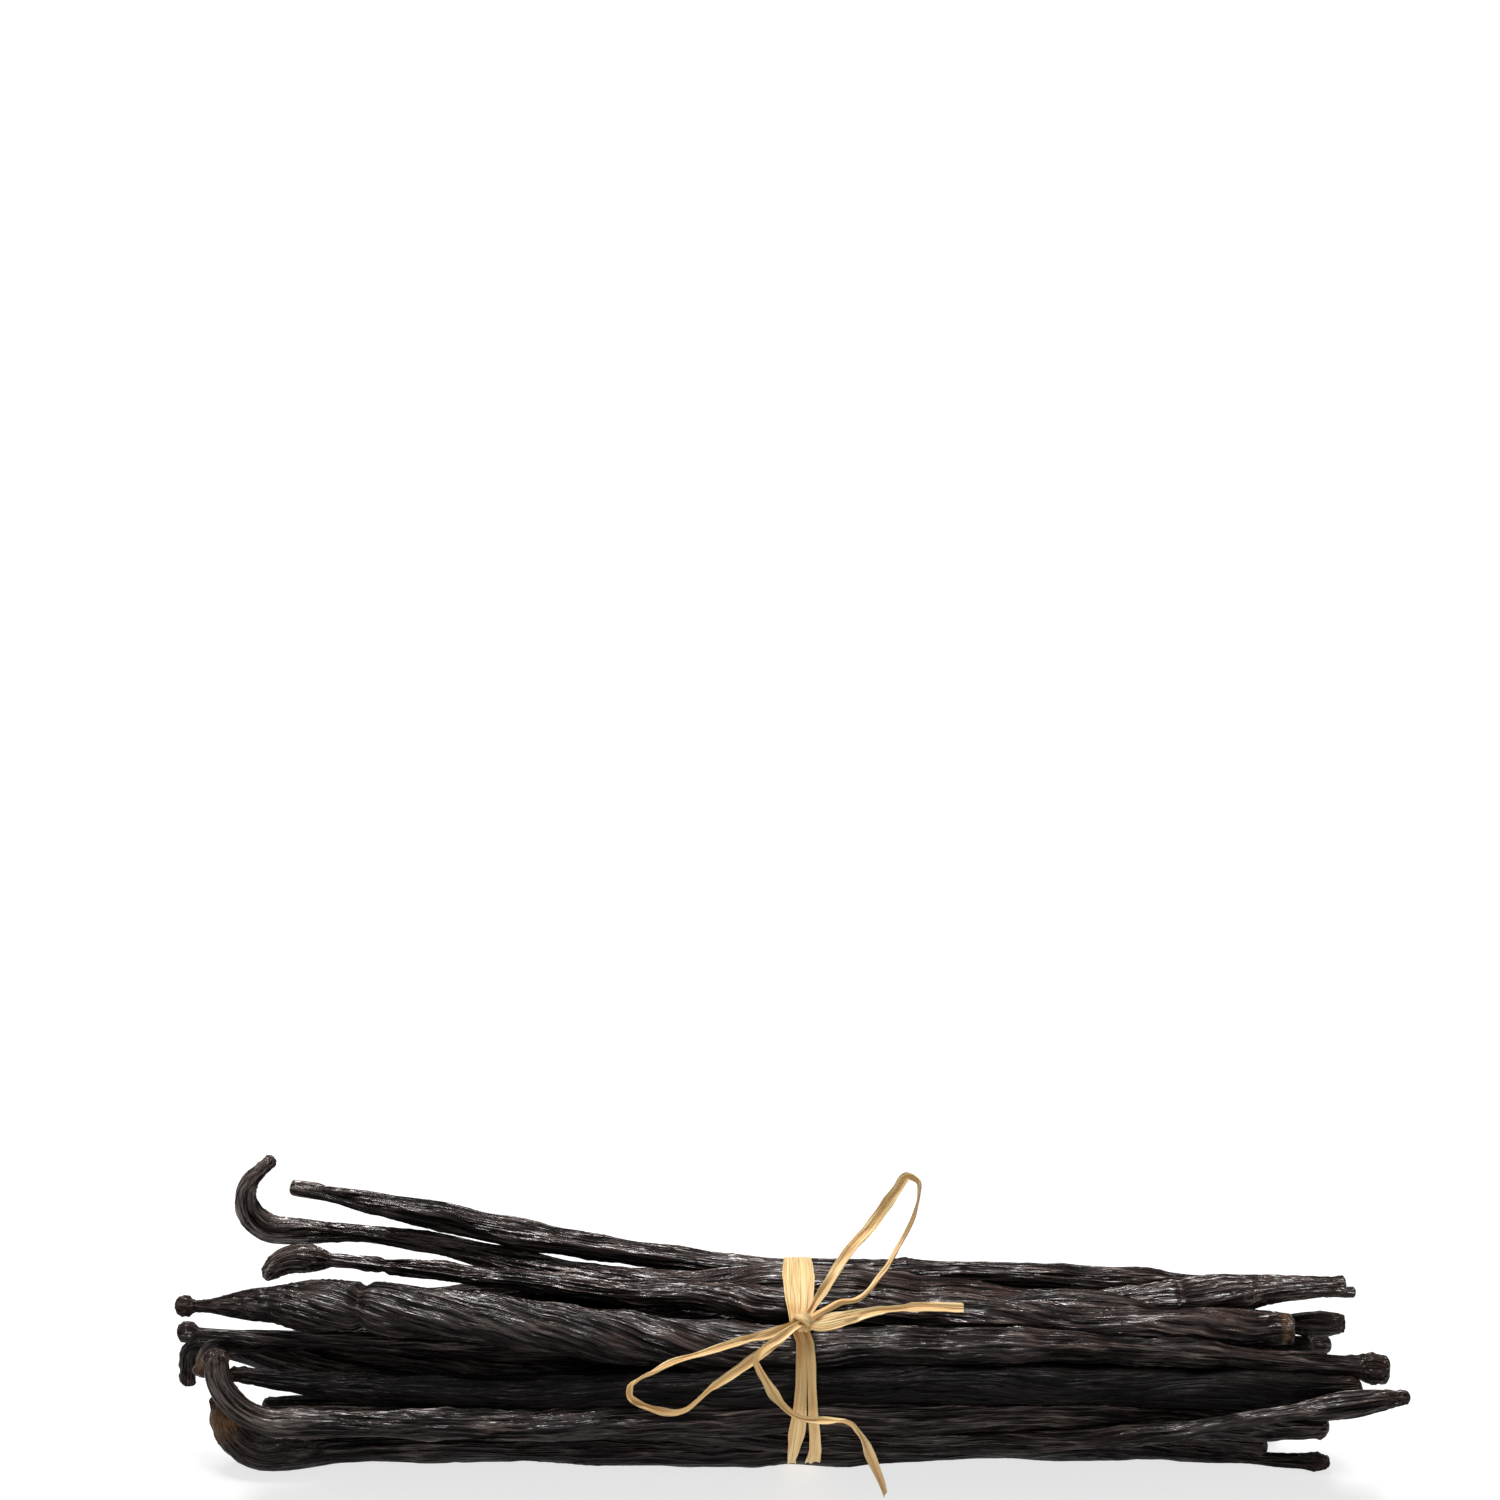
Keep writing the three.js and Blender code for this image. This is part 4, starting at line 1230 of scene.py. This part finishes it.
def over_tie(x: Any, angle: Any, height: Any) -> Array:
    """Points over the tie's oval, a height off it.

    Args:
        x: places along the bundle.
        angle: angles round it in degrees.
        height: heights off the oval.

    Returns:
        The points, in the last axis.
    """
    x, angle, height = np.broadcast_arrays(x, np.radians(angle), height)
    return np.stack([x, (TIE_HALF_DEPTH + height) * np.cos(angle),
                     TIE_MIDDLE_Z + (TIE_HALF_HEIGHT + height) * np.sin(angle)], axis=-1)


KNOT_MIDDLE = over_tie(KNOT_X, KNOT_ANGLE, KNOT_LIFT)


def leaf_section(columns: int) -> tuple:
    """The section of a raffia strip, run round once: across -1..1, and -1 below to 1 above."""
    turn = np.linspace(0, 2 * math.pi, columns, endpoint=False)
    wave = np.sin(turn)
    return np.cos(turn), np.sign(wave) * np.abs(wave) ** 0.5


def strip_grain(across: Array, v: Array, along: Array) -> Array:
    """Where each vertex of a strip lies on it, one row a vertex: across, through and along it."""
    return np.stack(np.broadcast_arrays(across, v * 0.3, along[:, None]), axis=-1).reshape(-1, 3)


def valley_shade(rise: Array) -> Array:
    """How deep in a valley of its strip a vertex lies, 0..1."""
    return np.clip(1.0 - rise * 1.6, 0.0, 1.0)


@dataclass(frozen=True)
class Strand:
    """A loose strip of raffia: a loop and a tail, one strip through the knot.

    Its widths in mm and its turns about its line in degrees are stops of (mm along it, value).
    The tuck is where its last end goes on to, inside the knot. A strip of the flat width has
    the least fold, and a narrower one is folded deeper.
    """

    name: str
    route_points: tuple
    widths: tuple
    turns: tuple
    nodes: tuple
    diameter: float
    tuck: tuple = ()
    rows: int = 460
    columns: int = 36
    thickness: float = 0.26
    flat_width: float = 2.3
    least_fold: float = 0.10
    deepest_fold: float = 0.42
    end_length: float = 0.12
    lowest: float = 0.02

    def build(self, material: bpy.types.Material) -> bpy.types.Object:
        """Makes the strip.

        It is a thin strip with a valley along its middle, or with two where it is wide. Where
        it is narrow it is folded up deeper. It is carried along the route and turned about it.

        Args:
            material: the strip's finish.

        Returns:
            The piece.
        """
        route = Route(np.array([*self.route_points, *self.tuck]))
        along = np.linspace(0.0, route.length, self.rows)
        middles, heading = route.at(along), route.heading(along)
        draws = np.random.default_rng(len(self.name) * 17)
        width = self.through(self.widths, along) * (1 + 0.05 * Ripple(draws, 0, 5.0)(0.0, along))
        turn = np.radians(self.through(self.turns, along))
        aside = unit(np.cross(KNOT_OUT, heading))
        facing = np.cross(heading, aside)
        across = aside * np.cos(turn)[:, None] + facing * np.sin(turn)[:, None]
        above = np.cross(heading, across)
        u, v = leaf_section(self.columns)
        shift = 0.16 * Ripple(draws, 0, 9.0)(0.0, along)[:, None]
        rise = self.rise(u[None, :] + shift * (1 - u[None, :] ** 2), width[:, None])
        missing = np.sqrt(np.maximum(self.flat_width ** 2 - width ** 2, 0.0))[:, None]
        depth = np.clip(self.deepest_fold * missing, self.least_fold, self.deepest_fold)
        wobble = 0.05 * Ripple(draws, 3, 6.0)(np.arccos(u)[None, :], along[:, None])
        lift = v[None, :] * self.thickness / 2 + (rise - 0.5) * depth + wobble
        to_end = np.minimum(along, route.length - along)[:, None]
        closing = np.sqrt(np.clip(to_end / self.end_length, 0.02, 1.0))
        flat = across[:, None] * (u[None, :] * width[:, None] / 2)[..., None]
        grid = middles[:, None] + flat + above[:, None] * (lift * closing)[..., None]
        vertices = np.concatenate([grid.reshape(-1, 3), middles[[0, -1]]])
        vertices[:, 2] = np.maximum(vertices[:, 2], self.lowest)
        rolled = np.clip((1.5 - width) * 0.5, 0.0, 0.3)[:, None]
        marks = {
            "grain": with_poles(strip_grain(u * width[:, None] / 2, v, along)),
            # painted shade in the strip's valleys
            "fold_shade": with_poles(valley_shade(rise).ravel()),
            "age": with_poles(per_vertex(0.08 + rolled, (self.rows, self.columns))),
        }
        return piece(self.name, vertices, tube_faces(self.rows, self.columns), marks, material)

    @staticmethod
    def rise(u: Array, width: Array) -> Array:
        """How high the strip stands across it: 0 in its valleys and 1 at its edges."""
        one = np.sqrt(u * u + 0.01)
        two = np.sqrt((np.abs(u) * 2 - 1) ** 2 + 0.02) * 0.8
        return np.clip(mix(one, two, smooth((width - 1.75) / 0.35)), 0.0, 1.0)

    @staticmethod
    def through(stops: tuple, along: Array) -> Array:
        """A value at each length, smooth between its stops."""
        places, values = np.array(stops, dtype=float).T
        index = np.clip(np.searchsorted(places, along, side="right") - 1, 0, len(places) - 2)
        share = (along - places[index]) / (places[index + 1] - places[index])
        return mix(values[index], values[index + 1], smooth(share))

    def declare(self, made: bpy.types.Object) -> None:
        """Rides the strip on the one body and stands it for its nodes."""
        points = (np.array(self.route_points) - MIDDLE) * METRES
        length = Route(np.array(self.route_points)).length * METRES
        fit_to_frame(made, "raffia", *self.nodes)


STRANDS = (
    Strand("raffia_left_strand", (*TAIL_RIGHT[::-1], tuple(KNOT_MIDDLE), *LOOP_LEFT),
           widths=((0, 1.6), (7.5, 1.6), (9.5, 1.05), (11.5, 1.0), (13, 1.4), (15, 1.7), (18, 2.3),
                   (21.5, 2.6), (23.5, 2.6), (24.8, 1.4), (27, 1.1), (31, 1.5), (34, 1.3), (39, 1.3),
                   (44, 1.0), (47.5, 1.55), (51.5, 0.8), (53, 1.2), (54.5, 1.0), (57, 0.95), (60.5, 1.55),
                   (64.5, 0.9), (66, 0.8), (68, 1.0), (70, 1.3), (74, 1.5), (77.5, 1.7), (80.8, 1.2)),
           turns=((0, 8), (20, -6), (30, -10), (43, 20), (51.5, 62), (54, 20), (60, -20), (66, -55),
                  (72, 0), (80.8, 10)),
           nodes=("raffia_loop_left", "raffia_tail_right"), diameter=1.4),
    Strand("raffia_right_strand", (*TAIL_FRONT[::-1], tuple(KNOT_MIDDLE), *LOOP_RIGHT),
           widths=((0, 1.0), (3, 1.3), (6, 1.5), (10, 1.8), (13, 1.3), (16, 0.8), (18.5, 1.4), (23, 0.9),
                   (27, 1.0), (29.5, 1.7), (32, 1.3), (35, 1.0), (40, 1.5), (43.5, 1.0), (47, 1.0),
                   (52, 1.5), (60, 1.7), (70, 1.8), (74, 1.5), (76, 1.0), (80, 0.95), (92, 0.9),
                   (98, 0.8), (105.2, 1.0)),
           turns=((0, 30), (8, 0), (16, 60), (22, -10), (34, -30), (40, 10), (50, 10), (60, -5), (74, 15),
                  (78, 80), (90, 130), (105.2, 170)),
           nodes=("raffia_loop_right", "raffia_tail_front"), diameter=1.5, tuck=((2.9, -12.3, 30.0),)),
)


class Side(Enum):
    """Which of the two flat turns of raffia, with the columns of its edges in TURN_EDGES."""

    LEFT = (1, 2)
    RIGHT = (3, 4)


# Degrees past the knot, downwards in front, then both edges of the left and of the right turn
# along X. The turns meet over the top, gather at the knot and part below it.
TURN_EDGES = (
    (0, -0.2, 1.3, 1.3, 2.5), (10, 0.8, 2.2, 2.2, 3.5), (33, 0.6, 2.35, 2.4, 3.8),
    (50, 0.1, 2.35, 2.5, 4.1), (64, -0.4, 2.0, 2.8, 4.4), (77, -0.5, 1.4, 2.8, 4.6),
    (90, -0.5, 0.8, 2.3, 4.6), (120, -0.5, 1.0, 2.0, 4.0), (200, -0.4, 1.2, 1.9, 3.5),
    (270, -0.7, 1.25, 1.35, 3.3), (300, -0.9, 1.3, 1.3, 3.3), (326, -1.3, 1.3, 1.3, 3.7),
    (345, -0.8, 1.3, 1.3, 3.5), (355, -0.4, 1.3, 1.3, 3.0), (360, -0.2, 1.3, 1.3, 2.5),
)


@dataclass(frozen=True)
class FlatTurn:
    """One flat turn of raffia round the pods, wide over the top and gathered at the knot.

    It is gathered for some degrees on both sides of the knot, where its valley is deeper.
    """

    side: Side
    thickness: float = 0.2
    lift: float = 0.14
    gathered_for: float = 26.0
    fold_loose: float = 0.14
    fold_gathered: float = 0.62
    rows: int = 360
    columns: int = 44

    def build(self, material: bpy.types.Material) -> bpy.types.Object:
        """Makes the turn.

        Its edges follow the stops round the tie, and the valley along it is deeper the nearer
        it is to the knot.

        Args:
            material: the strip's finish.

        Returns:
            The piece.
        """
        past = np.linspace(0, 360, self.rows, endpoint=False)
        around = np.radians(past) * (TIE_HALF_DEPTH + TIE_HALF_HEIGHT) / 2
        stops = np.array(TURN_EDGES)
        first, second = (np.interp(past, stops[:, 0], stops[:, column]) for column in self.side.value)
        width, middle = second - first, (first + second) / 2
        from_knot = np.minimum(past, 360 - past)
        gather = np.exp(-(from_knot / self.gathered_for) ** 2)[:, None]
        draws = np.random.default_rng(40 + self.side.value[0])
        u, v = leaf_section(self.columns)
        drift = 0.22 * Ripple(draws, 0, 22.0)(0.0, around)[:, None]
        place = u[None, :] + drift * (1 - u[None, :] ** 2)
        rise = Strand.rise(place, width[:, None] + 0.2)
        creases = 0.05 * Ripple(draws, 7, 40.0, fewest=3)(np.arccos(u)[None, :], around[:, None])
        depth = mix(self.fold_loose, self.fold_gathered, gather)
        edge = 0.05 * Ripple(draws, 0, 9.0)(0.0, around)
        across = middle[:, None] + u[None, :] * (width / 2 + edge)[:, None]
        height = self.lift + rise * depth + creases + v[None, :] * self.thickness / 2
        vertices = over_tie(across, KNOT_ANGLE + past[:, None], np.maximum(height, 0.02)).reshape(-1, 3)
        vertices[:, 2] = np.maximum(vertices[:, 2], 0.05)
        # Painted light and shade: deeper fold shade where the turn is gathered at the knot, and over the top
        # of the bundle the turn is painted paler, with less fold shade and less gold.
        top = smooth((past - 300) / 30)[:, None] * (1 - gather * 0.7)
        marks = {
            "grain": strip_grain(u * width[:, None] / 2 + 7.0 * self.side.value[0], v, around),
            "fold_shade": (valley_shade(rise) * mix(0.55, 1.0, gather) * (1 - 0.8 * top)).ravel(),
            "age": per_vertex(mix(0.22, 0.12, top), (self.rows, self.columns)),
        }
        name = f"raffia_turn_{self.side.name.lower()}"
        return piece(name, vertices, ring_faces(self.rows, self.columns), marks, material)


@dataclass(frozen=True)
class RaffiaKnot:
    """The knot: a short turn drawn round the strands, over a gathered pad.

    A grid is (rows, columns), and the slant is in degrees.
    """

    slant: float = 38.0
    turn_radius: float = 0.95
    turn_width: float = 1.8
    half_thickness: float = 0.12
    pleat_height: float = 0.22
    skew: float = 0.45
    taller: float = 1.15
    pad_halves: tuple = (1.6, 0.9, 1.4)
    pad_behind: float = 0.9
    pad_pleats: float = 5.5
    turn_grid: tuple = (90, 24)
    pad_grid: tuple = (40, 64)

    def axes(self) -> tuple:
        """The slanted line that the strands run through on, the way out, and square to both."""
        slant = math.radians(self.slant)
        through = unit(SIDEWAYS * math.cos(slant) + KNOT_UP * math.sin(slant))
        return through, KNOT_OUT, np.cross(through, KNOT_OUT)

    def build_turn(self, material: bpy.types.Material) -> bpy.types.Object:
        """Makes the drawn turn: a ring of a flat section, skewed as it crosses the front."""
        rows, columns = self.turn_grid
        through, out, square = self.axes()
        around = np.linspace(0, 2 * math.pi, rows, endpoint=False)
        angle = around[:, None]
        u, v = leaf_section(columns)
        place = (math.pi * (u + 1) / 2)[None, :]
        pleat = np.abs(np.sin(1.5 * place + 0.3 * Ripple(np.random.default_rng(77), 1, 2.0)(place, angle)))
        radius = self.turn_radius + self.pleat_height * pleat + v * self.half_thickness
        width = self.turn_width * (0.85 + 0.15 * np.cos(2 * angle))
        grid = KNOT_MIDDLE + through * (u * width / 2 + self.skew * np.sin(angle))[..., None] \
            + out * (np.cos(angle) * radius)[..., None] \
            + square * (np.sin(angle) * radius * self.taller)[..., None]
        marks = {
            "grain": strip_grain(u, v, around),
            # painted shade between the pleats
            "fold_shade": ((1 - pleat) ** 2 * 0.8).ravel(),
            "age": np.full(rows * columns, -0.05),
        }
        return piece("raffia_knot_turn", grid.reshape(-1, 3), ring_faces(rows, columns), marks, material)

    def build_pad(self, material: bpy.types.Material) -> bpy.types.Object:
        """Makes the gathered pad under it: a flattened egg with pleats that run out from the knot."""
        rows, columns = self.pad_grid
        lean = np.linspace(-math.pi / 2, math.pi / 2, rows + 2)[1:-1, None]
        angle = np.linspace(0, 2 * math.pi, columns, endpoint=False)[None, :]
        wander = 0.5 * Ripple(np.random.default_rng(78), 3, 2.0)(angle, lean)
        pleat = np.abs(np.sin(self.pad_pleats * angle + wander))
        grow = 1 + 0.16 * pleat
        wide, deep, tall = self.pad_halves
        grid = SIDEWAYS * (np.cos(lean) * np.cos(angle) * wide * grow)[..., None] \
            + KNOT_UP * (np.cos(lean) * np.sin(angle) * tall * grow)[..., None] \
            + KNOT_OUT * (np.sin(lean) * deep * np.ones_like(angle))[..., None]
        middle = KNOT_MIDDLE - KNOT_OUT * self.pad_behind
        poles = np.array([middle - KNOT_OUT * deep, middle + KNOT_OUT * deep])
        vertices = np.concatenate([(grid + middle).reshape(-1, 3), poles])
        grain = np.stack(np.broadcast_arrays(angle * 2, 0.0, 2 * lean), axis=-1).reshape(-1, 3)
        marks = {
            "grain": with_poles(grain),
            # painted shade between the pleats
            "fold_shade": np.append((1 - pleat) ** 2, [0.0, 0.0]),
            "age": np.full(rows * columns + 2, 0.3),
        }
        return piece("raffia_knot_pad", vertices, tube_faces(rows, columns), marks, material)


class RaffiaTie:
    """The whole tie: loose strands, flat turns and knot."""

    def __init__(self) -> None:
        """Makes the finish that all of it shares."""
        self.finish = RaffiaFinish().make()

    def build_strands(self) -> None:
        for strand in STRANDS:
            strand.declare(strand.build(self.finish))

    def build_turns(self) -> None:
        """Makes the flat turns and the knot."""
        for side in Side:
            fit_to_frame(FlatTurn(side).build(self.finish), "raffia", f"raffia_wrap_{side.name.lower()}")
        knot = RaffiaKnot()
        fit_to_frame(knot.build_turn(self.finish), "raffia", "raffia_knot")
        fit_to_frame(knot.build_pad(self.finish), "raffia", "raffia_knot")


# ---------------------------------------------------------------- studio


@dataclass(frozen=True)
class SkyPanel:
    """A broad far light, which lights all of the floor alike.

    It stands in a direction from the bundle, looks so many degrees wide from there, and gives
    its strength in watts a square metre.
    """

    name: str
    toward: tuple
    angle: float
    strength: float

    def build(self) -> None:
        """Hangs the light."""
        data = bpy.data.lights.new(self.name, "SUN")
        data.angle = math.radians(self.angle)
        data.energy = self.strength
        lamp = bpy.data.objects.new(self.name, data)
        lamp.rotation_euler = Vector(self.toward).to_track_quat("Z", "Y").to_euler()
        bpy.context.scene.collection.objects.link(lamp)


@dataclass(frozen=True)
class Studio:
    """The camera, the floor and the lights.

    The picture is square, its side and the aim's place in it are in pixels, and a pixel stands
    for a length at the aim.
    """

    elevation: float = 30.0
    lens: float = 85.0
    sensor: float = 36.0
    picture: float = 1500.0
    aim_pixel: tuple = (790.0, 1359.5)
    mm_a_pixel: float = 0.155
    aim: tuple = (0.0, 0.0, TIE_MIDDLE_Z)
    clip_start: float = 0.01
    floor_half: float = 60000.0
    panel_over: SkyPanel = SkyPanel("panel_over", (-0.12, 0.40, 1.0), 26.0, 4.2)
    panel_front: SkyPanel = SkyPanel("panel_front", (-0.3, -0.7, 1.0), 110.0, 0.6)
    sky_strength: float = 0.06

    def build_camera(self) -> None:
        """Stands the camera so that the aim point falls on its pixel, with no shift.

        The camera looks down by its elevation less the angle at which the aim point lies
        under its axis.
        """
        distance = self.lens / self.sensor * self.picture * self.mm_a_pixel
        aside = (self.aim_pixel[0] - self.picture / 2) * self.mm_a_pixel
        under = (self.aim_pixel[1] - self.picture / 2) * self.mm_a_pixel
        pitch = math.radians(self.elevation) - math.atan2(under, distance)
        ahead = np.array([0.0, math.cos(pitch), -math.sin(pitch)])
        up = np.array([0.0, math.sin(pitch), math.cos(pitch)])
        place = np.array(self.aim) - ahead * distance - np.array([aside, 0.0, 0.0]) + up * under
        data = bpy.data.cameras.new("camera")
        data.lens = self.lens
        data.sensor_width = self.sensor
        data.clip_start = self.clip_start
        camera = bpy.data.objects.new("camera", data)
        camera.location = (place - MIDDLE) * METRES
        camera.rotation_euler = (math.pi / 2 - pitch, 0.0, 0.0)
        bpy.context.scene.collection.objects.link(camera)
        bpy.context.scene.camera = camera

    def build_floor(self) -> None:
        """Lays a plain floor."""
        corners = self.floor_half * np.array([[-1.0, -1, 0], [1, -1, 0], [1, 1, 0], [-1, 1, 0]])
        piece("studio_floor", corners, [[0, 1, 2, 3]], {}, FloorFinish().make())

    def build_lights(self) -> None:
        """Hangs a soft light over and behind and a broad fill in front, under a faint sky."""
        self.panel_over.build()
        self.panel_front.build()
        world = bpy.data.worlds.new("sky")
        world.use_nodes = True
        background = world.node_tree.nodes["Background"]
        background.inputs["Color"].default_value = (1.0, 1.0, 1.0, 1.0)
        background.inputs["Strength"].default_value = self.sky_strength
        bpy.context.scene.world = world
        bpy.context.scene.view_settings.view_transform = "Standard"


def main() -> None:
    """Builds the scene in order."""
    logging.basicConfig(level=logging.INFO, format="%(message)s")
    studio = Studio()
    studio.build_camera()
    tie = RaffiaTie()
    tie.build_strands()
    tie.build_turns()
    PodHeap().build()
    studio.build_floor()
    studio.build_lights()


if __name__ == "__main__":
    main()
